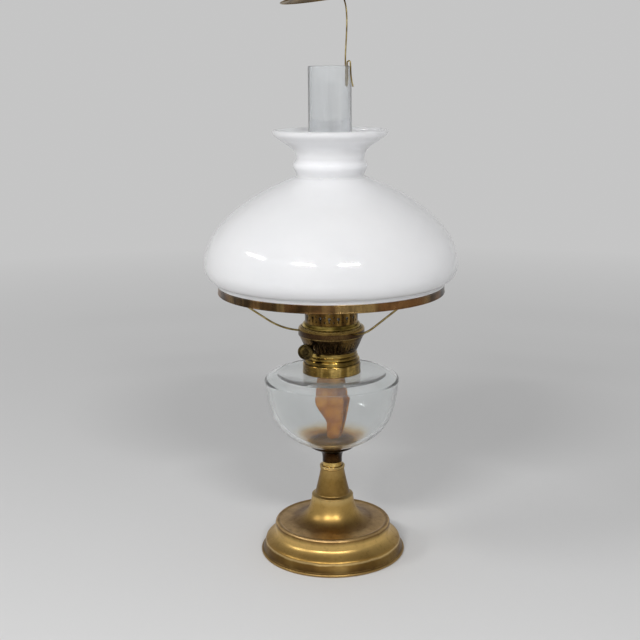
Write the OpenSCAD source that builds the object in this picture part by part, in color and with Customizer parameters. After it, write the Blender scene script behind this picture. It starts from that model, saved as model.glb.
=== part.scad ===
// Kerosene table lamp: weighted spun foot, glass font, round-wick burner, chimney, shade and smoke bell.
// Millimetres, +Z up, origin at the centre of the foot's underside, the viewer's side is -Y.

/* [Foot] */
// Diameter over the rolled rim of the foot
foot_d = 154.6; // [146:0.2:170]
// Diameter of the rolled rim bead
rim_bead_d = 3.2; // [2.6:0.2:4]
// Diameter at the crease between skirt and dome
crease_d = 144.6; // [138:0.2:146]
// Height of the crease
crease_h = 12.2; // [10:0.2:15]
// Diameter of the wall of the raised shoulder
shoulder_d = 124; // [112:1:128]
// Height where the dome runs into the wall of the raised shoulder
dome_h = 22.8; // [20:0.1:26]
// Height of the raised shoulder over the dome
shoulder_rise = 11.3; // [8:0.1:14]
// Diameter of the ridge ring on the stem cone
ridge_d = 44.4; // [40:0.2:48]
// Height of the underside of the ridge ring
ridge_h = 61; // [56:0.5:68]
// Diameter of the rolled lip on top of the stem cone
lip_d = 26.8; // [25.6:0.2:30]
// Height of the rolled lip
lip_h = 95.4; // [86:0.2:104]
// Thickness of the sheet of the foot
foot_wall = 1.2; // [0.8:0.1:1.4]
// Depth of the seat for the stem ring below the lip
lip_recess = 1.6; // [1:0.1:2.4]

/* [Weight and tie rod] */
// Height of the iron weight above its own underside
weight_t = 12.6; // [11.6:0.2:16]
// Thickness of the base plate
plate_t = 1.2; // [0.8:0.1:1.6]
// Diameter of the hole in the base plate and of the recess in the weight
recess_d = 26; // [24:0.5:32]
// Depth of the recess in the weight
recess_depth = 8; // [7:0.2:9.5]
// Diameter of the tie rod
rod_d = 8; // [6:0.5:8.5]
// Diameter of the washer
washer_d = 22; // [18:0.5:23]
// Thickness of the washer
washer_t = 1.5; // [1:0.1:2]
// Width across the corners of the nut
nut_d = 15; // [13:0.5:17]
// Height of the nut
nut_t = 5; // [4:0.2:5.4]
// Length of thread that shows past the nut
rod_end = 0.5; // [0.2:0.1:0.8]

/* [Neck and cup] */
// Diameter of the bright stem ring
stem_ring_d = 21.6; // [20.6:0.2:23]
// Height of the stem ring
stem_ring_h = 5.9; // [5:0.1:10]
// Diameter of the neck under the cup
neck_d = 20.8; // [18:0.2:22]
// Height from the stem ring to the rim of the cup
cup_h = 19.6; // [17:0.1:24]
// Diameter of the cup over its rim
cup_d = 50.4; // [46:0.2:54]
// Thickness of the cup
cup_wall = 1; // [0.8:0.1:1.4]
// Height of the dish in the cup
cup_depth = 6.4; // [5.6:0.1:7]

/* [Font] */
// Largest diameter of the glass font
font_d = 141.4; // [132:0.2:150]
// Height of the glass font from the cup to its flat top
font_h = 80.1; // [72:0.1:92]
// Depth of the shoulder above the widest level
font_shoulder = 9; // [7:0.2:12]
// Diameter of the flat top
font_top_d = 116; // [100:1:120]
// Thickness of the glass of the font
font_wall = 4; // [3:0.1:5]
// How deep the glass sits in the cup
font_sink = 0.7; // [0.4:0.1:1.2]
// Diameter of the glass peg that stands in the cup
peg_d = 40; // [36:0.5:42]
// Depth of the glass peg
peg_h = 3.4; // [3.2:0.1:3.6]
// Outer diameter of the glass neck
font_neck_d = 58; // [57:0.1:58.4]
// Thickness of the glass neck
font_neck_wall = 2; // [1.4:0.1:2.2]
// Height of the glass neck
font_neck_h = 8.2; // [7:0.1:9]

/* [Font collar] */
// Outer diameter of the brass collar
collar_d = 60.6; // [60.4:0.1:64]
// Height of the collar
collar_h = 10.8; // [10.4:0.1:15]
// Diameter of the thread in the collar
thread_d = 51.2; // [50:0.1:51.4]
// Thickness of the collar's sheet
collar_wall = 0.9; // [0.7:0.05:1]
// Height of the free edge of the inner sleeve over the glass top
sleeve_lift = 2.8; // [1:0.1:4]

/* [Burner] */
// Diameter of the widest ring at the foot of the burner
burner_ring_d = 59; // [56:0.2:62]
// Height of the ringed base
burner_base_h = 12.4; // [11:0.1:14]
// Length of the threaded spigot
spigot_h = 6; // [4:0.2:8]
// Thickness of the spigot
spigot_wall = 1.3; // [1:0.1:1.6]
// Diameter of the drum at its foot
drum_low_d = 52.8; // [50:0.2:54]
// Diameter of the drum at the top of its slotted wall
drum_high_d = 65.6; // [60:0.2:68]
// Height of the drum
drum_h = 16.8; // [15.6:0.2:20]
// Diameter of the flange on top of the drum
flange_d = 66.6; // [66:0.2:70]
// Thickness of the drum's sheet
drum_wall = 0.8; // [0.6:0.05:1]
// Number of air slots round the drum
air_slots = 48; // [32:1:56]
// Width of an air slot
slot_w = 1.2; // [0.8:0.1:1.6]
// Height of an air slot
slot_h = 8.6; // [6:0.2:9.4]

/* [Wick tubes] */
// Outer diameter of the outer wick tube
outer_tube_d = 32.6; // [31:0.1:33]
// Outer diameter of the inner draught tube
inner_tube_d = 24.2; // [22:0.1:24.6]
// Thickness of both tubes
tube_wall = 0.7; // [0.5:0.05:0.8]
// Height of the outer wick tube above the seat of the chimney
tube_rise = 11.5; // [9:0.5:14]
// How far the outer wick tube hangs below the burner's floor
tube_drop = 4.2; // [3:0.1:6]
// Step from the outer tube's rim down to the inner tube's rim
tube_step = 0.5; // [0:0.1:1]
// Width of the air duct at the back
duct_w = 7.4; // [6:0.1:7.8]
// Height of the air duct
duct_h = 11.8; // [9:0.2:12.4]
// How far the air duct reaches past the outer wick tube
duct_reach = 1.2; // [0.6:0.1:3]

/* [Wick] */
// Outer diameter of the wick cloth where it lies in the tube
wick_d = 30.4; // [29.8:0.1:30.6]
// Thickness of the wick cloth
wick_t = 2.7; // [2.2:0.1:2.8]
// Angle that the wick wraps round the draught tube
wick_wrap = 320; // [300:2:324]
// How far the wick stands over the outer tube
wick_rise = 0.5; // [0:0.1:1.5]
// Clearance of the lowest edge of the wick over the font's floor
wick_clear = 5.6; // [5:0.1:12]
// Reach of the tail's left edge where it hangs open
tail_left = 16.4; // [14:0.2:18]
// Reach of the tail's right edge where it hangs open
tail_right = 18.2; // [14:0.2:19]
// Reach of the tail's left edge at its end
tail_end_left = 4.4; // [3:0.2:7]
// Reach of the tail's right edge at its end
tail_end_right = 8; // [5:0.2:9]
// Depth of the folds of the tail
tail_fold = 7; // [3:0.2:8]

/* [Wick raiser] */
// Direction of the knob, in degrees from the front towards the right
knob_turn = -15; // [-25:1:-5]
// Diameter of the knob
knob_d = 16; // [13:0.5:20]
// Thickness of the knob
knob_t = 4.6; // [3.6:0.2:6]
// Distance of the knob's inner face from the middle of the lamp
knob_reach = 31.4; // [30.6:0.2:40]
// Diameter of the raiser's shaft
shaft_d = 3; // [2.4:0.1:3.2]
// Height of the shaft above the foot of the drum
shaft_lift = 4.5; // [4.3:0.1:6]
// Outer diameter of the two toothed wheels
wheel_d = 6.4; // [5.8:0.1:6.8]
// Thickness of a toothed wheel
wheel_t = 1.2; // [0.8:0.1:1.6]
// Distance between the toothed wheels
wheel_gap = 4; // [3.4:0.1:4.6]
// Teeth on each wheel
wheel_teeth = 12; // [8:1:16]
// Outer diameter of the bush in the drum's wall
bush_d = 6; // [5.2:0.1:6.6]

/* [Gallery] */
// Outer diameter of the gallery's skirt
gallery_d = 60.6; // [59.6:0.1:61]
// Height of the chimney's seat above the drum
seat_h = 7.7; // [6.8:0.1:9]
// Thickness of the gallery's sheet
gallery_wall = 0.8; // [0.6:0.05:1]
// Height of the bead above the chimney's seat
bead_rise = 2.4; // [1.6:0.1:3]
// Height of the pierced crown above the chimney's seat
crown_h = 21.5; // [19:0.5:26]
// Thickness of the crown
crown_wall = 0.7; // [0.5:0.05:0.8]
// Repeats of the piercing round the crown
crown_repeats = 18; // [12:2:20]
// Number of air holes in the chimney's seat
seat_holes = 24; // [12:1:28]
// Diameter of an air hole in the chimney's seat
seat_hole_d = 2.6; // [1.6:0.1:3]

/* [Chimney] */
// Outer diameter of the chimney's foot
chimney_foot_d = 52.2; // [48:0.1:54]
// Outer diameter at the waist
waist_d = 38.4; // [36:0.2:42]
// Outer diameter of the tube
chimney_d = 43.5; // [40:0.1:48]
// Height of the waist above the chimney's foot
waist_h = 56.5; // [50:0.5:64]
// Whole length of the chimney
chimney_len = 265; // [235:1:300]
// Thickness of the chimney's glass
chimney_wall = 1.65; // [1.4:0.05:2.2]

/* [Tripod] */
// Outer diameter of the tripod's collar
tripod_collar_d = 69.2; // [68.6:0.1:73]
// Height of the tripod's collar
tripod_collar_h = 9.6; // [8.4:0.1:12]
// Thickness of the collar's sheet
tripod_wall = 0.9; // [0.7:0.05:1.1]
// Diameter of the three wires
arm_d = 2.1; // [1.6:0.1:3]
// Direction of the first wire, in degrees from the front towards the right
arm_turn = 38; // [20:1:60]
// Slope of the straight stretch of a wire
arm_slope = 35; // [28:0.5:40]
// Radius of the lower bend of a wire
arm_bend = 70; // [40:1:80]
// Radius of the upper bend of a wire
arm_hook = 14; // [8:0.5:16]

/* [Shade ring] */
// Height of the shade's ledge above the foot of the tripod's collar
ledge_h = 54.2; // [48:0.2:62]
// Depth of the ring below its ledge
ring_depth = 8.4; // [7:0.1:12]
// Outer diameter of the ring at its ledge
ring_d = 234; // [228:0.5:240]
// Diameter of the collar that centres the shade
ring_collar_d = 226.8; // [218:0.2:228]
// Height of the collar that centres the shade
ring_collar_h = 4.5; // [3:0.1:6]
// Thickness of the ring's sheet
ring_wall = 0.9; // [0.7:0.05:1.2]

/* [Shade] */
// Outer diameter of the shade's fitter
fitter_d = 235; // [232:0.5:242]
// Height of the fitter's plain band
fitter_h = 4.2; // [3:0.1:6]
// Largest diameter of the shade
shade_d = 260.4; // [250:0.2:280]
// Radius of the rounded edge of the shade
shade_round = 18.7; // [15:0.1:22]
// Height from the fitter to the beaded neck
dome_rise = 108; // [96:1:124]
// Diameter at the foot of the neck
shade_neck_d = 69; // [64:0.2:76]
// Diameter of the bead round the neck
shade_bead_d = 76; // [71:0.2:84]
// Diameter of the flared top edge
shade_top_d = 117.4; // [100:0.2:130]
// Whole height of the shade
shade_h = 156.4; // [146:0.2:176]
// Thickness of the shade's glass
shade_wall = 3; // [2.4:0.1:3.4]

/* [Smoke bell] */
// Diameter of the spring wire that holds the smoke bell
wire_d = 1.5; // [1.2:0.1:2]
// Direction of the wire, in degrees from the front towards the right
wire_turn = 57; // [40:1:70]
// How deep the clip reaches down both sides of the chimney's wall
clip_depth = 19.5; // [14:0.5:30]
// Height of the smoke bell above the chimney
bell_lift = 78.3; // [60:0.1:90]
// Diameter of the smoke bell
bell_d = 101; // [80:1:110]
// Depth of the smoke bell
bell_depth = 12; // [6:0.5:14]
// Thickness of the smoke bell
bell_wall = 0.8; // [0.6:0.1:1.2]
// How far the smoke bell hangs down on its left side, in degrees
bell_tilt = 8; // [0:1:20]
// Diameter of the nut on the smoke bell
bell_nut_d = 8; // [6:0.5:10]

/* [Fits] */
// Radial clearance of a shaft in its bore
running_gap = 0.05; // [0.03:0.01:0.08]
// Height of the gap under pieces that lift off
lift_gap = 0.05; // [0.02:0.01:0.1]
// Radial clearance of pieces that pass freely
free_gap = 0.5; // [0.3:0.05:0.6]

/* [Hidden] */
fine = 120;
medium = 48;
small = 24;
cut = 200;

// Radii and levels of the foot
rim_r = foot_d / 2;
bead_r = rim_bead_d / 2;
crease_r = crease_d / 2;
shoulder_r = shoulder_d / 2;
shoulder_h = dome_h + shoulder_rise;
ridge_r = ridge_d / 2;
lip_r = lip_d / 2;
deck_h = lip_h - lip_recess;
hole_r = rod_d / 2 + free_gap;

// Levels of the weight and the tie rod
weight_low = rim_bead_d + 0.2;
weight_top = weight_low + weight_t;
recess_top = weight_low + recess_depth;
nut_top = recess_top - washer_t;
rod_low = nut_top - nut_t - rod_end;

// Levels of the neck, the cup and the font
ring_top = deck_h + stem_ring_h;
cup_top = ring_top + cup_h;
cup_floor = cup_top - cup_depth;
rod_high = cup_floor - 3.4;
font_low = cup_top - font_sink;
font_top = font_low + font_h;
font_wide = font_top - font_shoulder;
font_floor = font_low - peg_h + font_wall;
collar_top = font_top + collar_h;
sleeve_r = thread_d / 2;

// Levels of the burner
burner_low = collar_top + lift_gap;
burner_floor = burner_low + 0.8;
drum_low = burner_low + burner_base_h;
drum_top = drum_low + drum_h;
seat_top = drum_top + seat_h;
crown_top = seat_top + crown_h;
crown_r = chimney_foot_d / 2 + free_gap + 0.2 + crown_wall;
tube_top = seat_top + tube_rise;
inner_top = tube_top - tube_step;
tube_low = burner_low - tube_drop;
outer_tube_r = outer_tube_d / 2;
inner_tube_r = inner_tube_d / 2;
duct_low = burner_floor + 3.9;

// Levels of the wick
wick_top = tube_top + wick_rise;
wick_low = font_floor + wick_clear;
wick_mid_r = (wick_d - wick_t) / 2;

// Places of the wick raiser
shaft_z = drum_low + shaft_lift;
shaft_r = shaft_d / 2;
shaft_off = wick_d / 2 + 0.3 + wheel_d / 2;
bracket_out = wheel_gap / 2 + wheel_t + 1.4;

// Levels of the pieces that lift off
chimney_low = seat_top + lift_gap;
chimney_top = chimney_low + chimney_len;
tripod_low = drum_top + lift_gap;
ledge_z = tripod_low + ledge_h;
shade_low = ledge_z + lift_gap;

// Points of a cubic curve from a to d, with the handles b and c
function curve(a, b, c, d, n) = [
    for (i = [0:n])
        let (t = i / n, s = 1 - t)
            s * s * s * a + 3 * s * s * t * b + 3 * s * t * t * c + t * t * t * d
];

// Points of an arc between two angles
function arc(centre, r, from, to, n) = [
    for (i = [0:n])
        let (w = from + (to - from) * i / n)
            centre + r * [cos(w), sin(w)]
];

function reversed(p) = [for (i = [len(p) - 1:-1:0]) p[i]];

function unit(v) = v / norm(v);

// Direction of a line of points at point i
function along(p, i) = unit(p[min(i + 1, len(p) - 1)] - p[max(i - 1, 0)]);

// A line of points moved to its left by d, which is inwards for an outline that climbs
function inset(p, d) = [for (i = [0:len(p) - 1]) let (t = along(p, i)) p[i] + d * [-t[1], t[0]]];

function smooth_step(a, b, v) = let (t = min(max((v - a) / (b - a), 0), 1)) t * t * (3 - 2 * t);

module turned(points) {
    rotate_extrude($fn = fine) polygon(points);
}

module disc(r, low, high, bore = 0) {
    difference() {
        translate([0, 0, low]) cylinder(r = r, h = high - low, $fn = fine);
        if (bore > 0) translate([0, 0, low - 1]) cylinder(r = bore, h = high - low + 2, $fn = fine);
    }
}

// Outline of the foot, from the rim up
rim_line = arc([rim_r - bead_r, bead_r], bead_r, -90, 75, 8);
skirt_line = curve(
    [rim_r - bead_r * 1.2, weight_low],
    [rim_r - bead_r * 1.5, crease_h / 2],
    [crease_r + 1.1, crease_h - 2.9],
    [crease_r, crease_h], 8
);
dome_line = curve(
    [crease_r, crease_h + 0.4],
    [crease_r + 0.5, crease_h + 3.6],
    [shoulder_r + 1.8, dome_h - 4.8],
    [shoulder_r, dome_h], 14
);
shoulder_line = [
    [shoulder_r - 0.2, shoulder_h - 3.4],
    [shoulder_r - 1.2, shoulder_h - 1.3],
    [shoulder_r - 3.4, shoulder_h],
    [shoulder_r - 5, shoulder_h - 0.4],
];
flare_line = curve(
    [shoulder_r - 6, shoulder_h - 0.9],
    [shoulder_r * 0.645, shoulder_h + 0.5],
    [ridge_r + 2.8, shoulder_h - 0.6],
    [ridge_r - 0.1, ridge_h], 14
);
ridge_line = [
    [ridge_r, ridge_h + 0.5],
    [ridge_r, ridge_h + 1.4],
    [ridge_r - 1, ridge_h + 1.9],
    [ridge_r - 3.6, ridge_h + 2.8],
];
cone_line = curve(
    [ridge_r - 3.9, ridge_h + 3.4],
    [ridge_r - 4.9, ridge_h + 9],
    [lip_r + 0.4, lip_h - 13.4],
    [lip_r - 0.9, lip_h - 3.8], 8
);
// Two beads with a groove between them
lip_line = [
    [lip_r - 0.2, lip_h - 3.2],
    [lip_r - 0.2, lip_h - 2.3],
    [lip_r - 0.8, lip_h - 1.8],
    [lip_r, lip_h - 1.2],
    [lip_r, lip_h - 0.4],
    [lip_r - 0.5, lip_h],
    [stem_ring_d / 2 + free_gap, lip_h],
];
skirt_inside = inset(skirt_line, foot_wall);

module foot_shell() {
    inner = [
        each skirt_inside,
        each inset(dome_line, foot_wall),
        [shoulder_r - foot_wall - 0.2, shoulder_h - 3.6],
        [shoulder_r - 3.6, shoulder_h - foot_wall - 0.2],
        each inset(flare_line, foot_wall),
        each inset(cone_line, foot_wall),
    ];
    color("darkgoldenrod") turned([
        [rim_r - bead_r * 2.1, 0],
        each rim_line,
        each skirt_line,
        each dome_line,
        each shoulder_line,
        each flare_line,
        each ridge_line,
        each cone_line,
        each lip_line,
        [stem_ring_d / 2 + free_gap, deck_h],
        [hole_r, deck_h],
        [hole_r, deck_h - foot_wall],
        each reversed(inner),
        [rim_r - bead_r * 2.1, weight_low],
    ]);
}

// The weight fills the skirt up to the crease, so that it bears on the shell when the rod is tightened
module foot_weight() {
    color("dimgray") turned([
        [recess_d / 2, weight_low],
        [skirt_inside[0][0], weight_low],
        each skirt_inside,
        [shoulder_r - 2, weight_top],
        [hole_r, weight_top],
        [hole_r, recess_top],
        [recess_d / 2, recess_top],
    ]);
}

module base_plate() {
    color("saddlebrown") disc(rim_r - bead_r * 2.1, weight_low - plate_t, weight_low, recess_d / 2);
}

module base_washer() {
    color("silver") disc(washer_d / 2, nut_top, recess_top, hole_r);
}

module tie_nut() {
    color("silver") difference() {
        translate([0, 0, nut_top - nut_t]) cylinder(d = nut_d, h = nut_t, $fn = 6);
        translate([0, 0, rod_low - 1]) cylinder(d = rod_d, h = nut_t + 4, $fn = medium);
    }
}

module tie_rod() {
    color("gray") disc(rod_d / 2, rod_low, rod_high);
}

module stem_ring() {
    r = stem_ring_d / 2;
    color("gold") turned([
        [hole_r, deck_h],
        [r, deck_h],
        [r, deck_h + lip_recess + 0.4],
        [r - 0.5, deck_h + stem_ring_h * 0.6],
        [r - 0.5, ring_top - 0.5],
        [r - 0.8, ring_top],
        [hole_r, ring_top],
    ]);
}

// The cup's dish follows its outside, and the plaster takes the dish's own line
dish_line = [
    [neck_d * 0.36, cup_floor],
    [neck_d * 0.62, cup_floor + cup_depth * 0.08],
    [cup_d * 0.37, cup_floor + cup_depth * 0.31],
    [cup_d * 0.45, cup_floor + cup_depth * 0.5],
    [cup_d / 2 - cup_wall, cup_top - font_sink],
];

module font_cup() {
    neck_r = neck_d / 2;
    cup_r = cup_d / 2;
    neck_line = curve(
        [neck_r, ring_top], [neck_r - 0.1, ring_top + 5],
        [neck_r, cup_top - 9], [neck_r + 3.7, cup_top - 6.9], 8
    );
    bowl_line = curve(
        [neck_r + 3.7, cup_top - 6.9], [neck_r + 7.7, cup_top - 4.6],
        [cup_r - 1.4, cup_top - 3.8], [cup_r, cup_top - 0.9], 8
    );
    color("darkgoldenrod") turned([
        [rod_d / 2, ring_top],
        each neck_line,
        each bowl_line,
        [cup_r, cup_top - font_sink / 2],
        each reversed(dish_line),
        [0, cup_floor],
        [0, rod_high],
        [rod_d / 2, rod_high],
    ]);
}

module cup_plaster() {
    color("linen") turned([
        [0, cup_floor],
        each dish_line,
        [peg_d / 2, font_low],
        [peg_d / 2, font_low - peg_h],
        [0, font_low - peg_h],
    ]);
}

// Outline of the glass bowl, from the cup up to the flat top
bowl_side = curve(
    [cup_d / 2 - cup_wall, font_low],
    [font_d / 2 - 6.1, font_low + 15.9],
    [font_d / 2 - 4.1, font_wide - 32.2],
    [font_d / 2 - 0.2, font_wide - 0.5], 22
);
bowl_shoulder = curve(
    [font_d / 2 - 0.1, font_wide],
    [font_d / 2 + 0.7, font_wide + 3],
    [font_top_d / 2 + 8, font_top - 2.4],
    [font_top_d / 2, font_top - 0.3], 8
);
font_neck_r = font_neck_d / 2;
font_mouth_r = font_neck_r - font_neck_wall;
font_neck_top = font_top + font_neck_h;

module glass_font() {
    floor_r = peg_d / 2 - 6;
    // The inside starts where the wall over the cup is as thick as the rest
    side_inside = [for (q = inset(bowl_side, font_wall)) if (q[1] > font_low + font_wall * 0.9) q];
    color("lightblue", 0.5) turned([
        [0, font_low - peg_h],
        [peg_d / 2, font_low - peg_h],
        [peg_d / 2, font_low],
        each bowl_side,
        each bowl_shoulder,
        [font_top_d / 2 - 3.4, font_top],
        [font_neck_r, font_top],
        [font_neck_r, font_neck_top],
        [font_mouth_r, font_neck_top],
        [font_mouth_r, font_top - font_wall + 1],
        [font_mouth_r + 1.2, font_top - font_wall],
        [font_top_d / 2 - 2, font_top - font_wall - 0.3],
        each reversed(inset(bowl_shoulder, font_wall)),
        each reversed(side_inside),
        [floor_r + 3.6, font_floor + 1.6],
        [floor_r, font_floor],
        [0, font_floor],
    ]);
}

// Brass collar cemented over the glass neck, with a threaded sleeve inside the mouth
module font_collar() {
    r = collar_d / 2;
    web = collar_top - 1.5;
    color("gold") turned([
        [r - collar_wall, font_top],
        [r + 0.3, font_top],
        [r, font_top + 1.3],
        [r, collar_top - 2.4],
        [r - 0.4, collar_top - 0.9],
        [r - 1.1, collar_top],
        [sleeve_r, collar_top],
        [sleeve_r, font_top + sleeve_lift],
        [sleeve_r + collar_wall, font_top + sleeve_lift],
        [sleeve_r + collar_wall, web],
        [r - collar_wall, web],
    ]);
}

module collar_plaster() {
    inner = sleeve_r + collar_wall;
    web = collar_top - 1.5;
    color("linen") turned([
        [font_neck_r, font_top],
        [collar_d / 2 - collar_wall, font_top],
        [collar_d / 2 - collar_wall, web],
        [inner, web],
        [inner, font_top + sleeve_lift],
        [font_mouth_r, font_top + sleeve_lift],
        [font_mouth_r, font_neck_top],
        [font_neck_r, font_neck_top],
    ]);
}

// Ringed base of the burner with its floor and threaded spigot
module burner_base() {
    h = burner_base_h;
    ring_r = burner_ring_d / 2;
    foot_r = drum_low_d / 2;
    step_r = (ring_r + foot_r) / 2 - 0.3;
    spigot_r = sleeve_r - running_gap;
    floor_top = burner_floor + 1.2;
    color("gold") turned([
        [outer_tube_r, burner_floor],
        [spigot_r - spigot_wall, burner_floor],
        [spigot_r - spigot_wall, burner_low - spigot_h],
        [spigot_r, burner_low - spigot_h],
        [spigot_r, burner_low],
        [ring_r - 0.5, burner_low],
        [ring_r, burner_low + h * 0.1],
        [ring_r, burner_low + h * 0.26],
        [ring_r - 0.6, burner_low + h * 0.36],
        [step_r - 0.2, burner_low + h * 0.42],
        [step_r, burner_low + h * 0.5],
        [step_r - 0.1, burner_low + h * 0.6],
        [foot_r + 0.1, burner_low + h * 0.68],
        [foot_r + 0.4, burner_low + h * 0.78],
        [foot_r + 0.3, burner_low + h * 0.9],
        [foot_r, drum_low],
        [foot_r - drum_wall - 0.1, drum_low],
        [foot_r - drum_wall - 0.1, floor_top],
        [outer_tube_r, floor_top],
    ]);
}

// Puts a child on the raiser's shaft: z runs out towards the knob, y up, x towards the lamp's middle
module on_shaft() {
    translate([0, 0, shaft_z]) rotate([90, 0, knob_turn]) translate([-shaft_off, 0, 0]) children();
}

module rod_on_shaft(r, from, to) {
    on_shaft() translate([0, 0, from]) cylinder(r = r, h = to - from, $fn = medium);
}

module burner_drum() {
    low_r = drum_low_d / 2;
    high_r = drum_high_d / 2;
    wall = drum_wall + 0.1;
    cone_top = drum_top - 2.3;
    seat_r = gallery_d / 2 - gallery_wall - 0.2;
    color("goldenrod") difference() {
        turned([
            [low_r - wall, drum_low],
            [low_r, drum_low],
            [high_r, cone_top],
            [flange_d / 2, drum_top - 0.9],
            [flange_d / 2, drum_top],
            [seat_r, drum_top],
            [seat_r, drum_top - drum_wall],
            [high_r - wall, drum_top - drum_wall],
            [high_r - wall, cone_top],
        ]);
        for (i = [0:air_slots - 1])
            rotate([0, 0, (i + 0.5) * 360 / air_slots])
                translate([low_r - 4, -slot_w / 2, drum_low + 2.6]) cube([high_r - low_r + 6, slot_w, slot_h]);
        rod_on_shaft(bush_d / 2, 10, 40);
    }
}

// Outer tube with two slots for the toothed wheels and a window for the air duct
module outer_wick_tube() {
    color("goldenrod") difference() {
        disc(outer_tube_r, tube_low, tube_top, outer_tube_r - tube_wall);
        for (side = [-1, 1])
            on_shaft()
                translate([0.6, -wheel_d / 2, side * wheel_gap / 2 - wheel_t / 2 - 0.3])
                    cube([4, wheel_d, wheel_t + 0.6]);
        translate([-duct_w / 2, 0, duct_low]) cube([duct_w, cut, duct_h]);
    }
}

module inner_draught_tube() {
    bore = inner_tube_r - tube_wall;
    out = outer_tube_r + duct_reach;
    color("goldenrod") difference() {
        union() {
            translate([0, 0, duct_low - 0.8]) cylinder(r = inner_tube_r, h = inner_top - duct_low + 0.8, $fn = fine);
            translate([-duct_w / 2, 0, duct_low]) cube([duct_w, out, duct_h]);
        }
        translate([0, 0, duct_low + tube_wall]) cylinder(r = bore, h = cut, $fn = fine);
        translate([-duct_w / 2 + tube_wall, 0, duct_low + tube_wall])
            cube([duct_w - 2 * tube_wall, out + 1, duct_h - 2 * tube_wall]);
    }
}

// Two cheeks on the outer tube that carry the inner end of the shaft
module wheel_bracket() {
    cheek = 1;
    half = shaft_r + 1.7;
    color("darkgoldenrod") difference() {
        union() {
            for (place = [-bracket_out, bracket_out - cheek])
                on_shaft() translate([0, 0, place]) {
                    cylinder(r = half, h = cheek, $fn = medium);
                    translate([0, -half, 0]) cube([shaft_off - outer_tube_r + 2, 2 * half, cheek]);
                }
        }
        rod_on_shaft(shaft_r + running_gap, -bracket_out - 2, bracket_out + 2);
        translate([0, 0, tube_low]) cylinder(r = outer_tube_r, h = cut, $fn = fine);
    }
}

module shaft_bush() {
    color("darkgoldenrod") difference() {
        rod_on_shaft(bush_d / 2, 17, 26.4);
        rod_on_shaft(shaft_r + running_gap, 10, 30);
    }
}

module wick_shaft() {
    color("silver") rod_on_shaft(shaft_r, -bracket_out - 0.8, knob_reach + knob_t - 1.2);
}

module wick_wheels() {
    root = wheel_d / 2 - 0.8;
    step = 360 / wheel_teeth;
    teeth = [for (i = [0:wheel_teeth - 1]) each [
        (wheel_d / 2) * [cos(i * step), sin(i * step)],
        root * [cos((i + 0.5) * step), sin((i + 0.5) * step)],
    ]];
    color("silver") difference() {
        union() {
            for (side = [-1, 1])
                on_shaft()
                    translate([0, 0, side * wheel_gap / 2 - wheel_t / 2])
                        linear_extrude(height = wheel_t) polygon(teeth);
            rod_on_shaft(shaft_r + 0.5, -wheel_gap / 2, wheel_gap / 2);
        }
        rod_on_shaft(shaft_r, -10, 10);
    }
}

// Knob dished on its outer face, with a raised rim
module wick_knob() {
    r = knob_d / 2;
    color("gold") on_shaft() translate([0, 0, knob_reach]) turned([
        [shaft_r, 0],
        [shaft_r + 1.2, 0],
        [shaft_r + 1.6, 0.8],
        [r - 1, 1],
        [r, 1.8],
        [r, knob_t - 0.8],
        [r - 0.7, knob_t],
        [r - 1.5, knob_t],
        [r - 2.2, knob_t - 1.4],
        [shaft_r + 1.8, knob_t - 1.6],
        [shaft_r + 1.2, knob_t - 0.6],
        [0, knob_t - 0.4],
        [0, knob_t - 1.2],
        [shaft_r, knob_t - 1.2],
    ]);
}

// Seat of the chimney, with its skirt on the drum and the bead that the crown stands in
module gallery_seat() {
    r = gallery_d / 2;
    bead = seat_top + bead_rise;
    inner = r - gallery_wall;
    hole_ring = (outer_tube_r + free_gap + chimney_foot_d / 2 - chimney_wall) / 2;
    color("goldenrod") difference() {
        turned([
            [inner, drum_top],
            [r, drum_top],
            [r, bead - 1.1],
            [r + 0.3, bead - 0.6],
            [r + 0.3, bead + 0.5],
            [r - 0.4, bead + 2],
            [r - 1.4, bead + 3.2],
            [crown_r, bead + 3.8],
            [crown_r, bead + 2.9],
            [r - 1.7, bead + 2.4],
            [inner - 0.1, bead + 1.2],
            [inner, bead],
            [inner, seat_top],
            [outer_tube_r + free_gap, seat_top],
            [outer_tube_r + free_gap, seat_top - gallery_wall],
            [inner, seat_top - gallery_wall],
        ]);
        for (i = [0:seat_holes - 1])
            rotate([0, 0, i * 360 / seat_holes])
                translate([hole_ring, 0, seat_top - gallery_wall - 1])
                    cylinder(d = seat_hole_d, h = gallery_wall + 2, $fn = small);
    }
}

// A round hole through the crown's wall, on the side that faces +X
module crown_hole(r, z) {
    translate([crown_r - crown_wall - 1, 0, z]) rotate([0, 90, 0]) cylinder(r = r, h = crown_wall + 2, $fn = small);
}

// Crown pierced with keyholes and small holes, and scalloped along its top
module gallery_crown() {
    step = 360 / crown_repeats;
    pierced_low = seat_top + bead_rise + 6.4;
    key_h = 4.6;
    key_z = pierced_low + key_h;
    color("goldenrod") difference() {
        disc(crown_r, seat_top, crown_top, crown_r - crown_wall);
        for (i = [0:crown_repeats - 1]) {
            rotate([0, 0, (i + 0.25) * step]) {
                crown_hole(1.7, key_z);
                crown_hole(0.7, crown_top - 2.4);
                translate([crown_r - crown_wall - 1, -0.6, pierced_low]) cube([crown_wall + 2, 1.2, key_h]);
            }
            rotate([0, 0, (i + 0.75) * step]) {
                crown_hole(2.1, crown_top + 0.4);
                crown_hole(0.9, pierced_low + 1);
                crown_hole(0.8, key_z + 1.8);
            }
        }
    }
}

// The wick cloth is a split tube in the burner and hangs below it as a tail in folds.
// At a level z the middle of the cloth is a line of points for u from -1 to 1.
tail_open_z = wick_low + 45;
tail_roll_z = burner_low - tube_drop;
tail_samples = 24;

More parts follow.
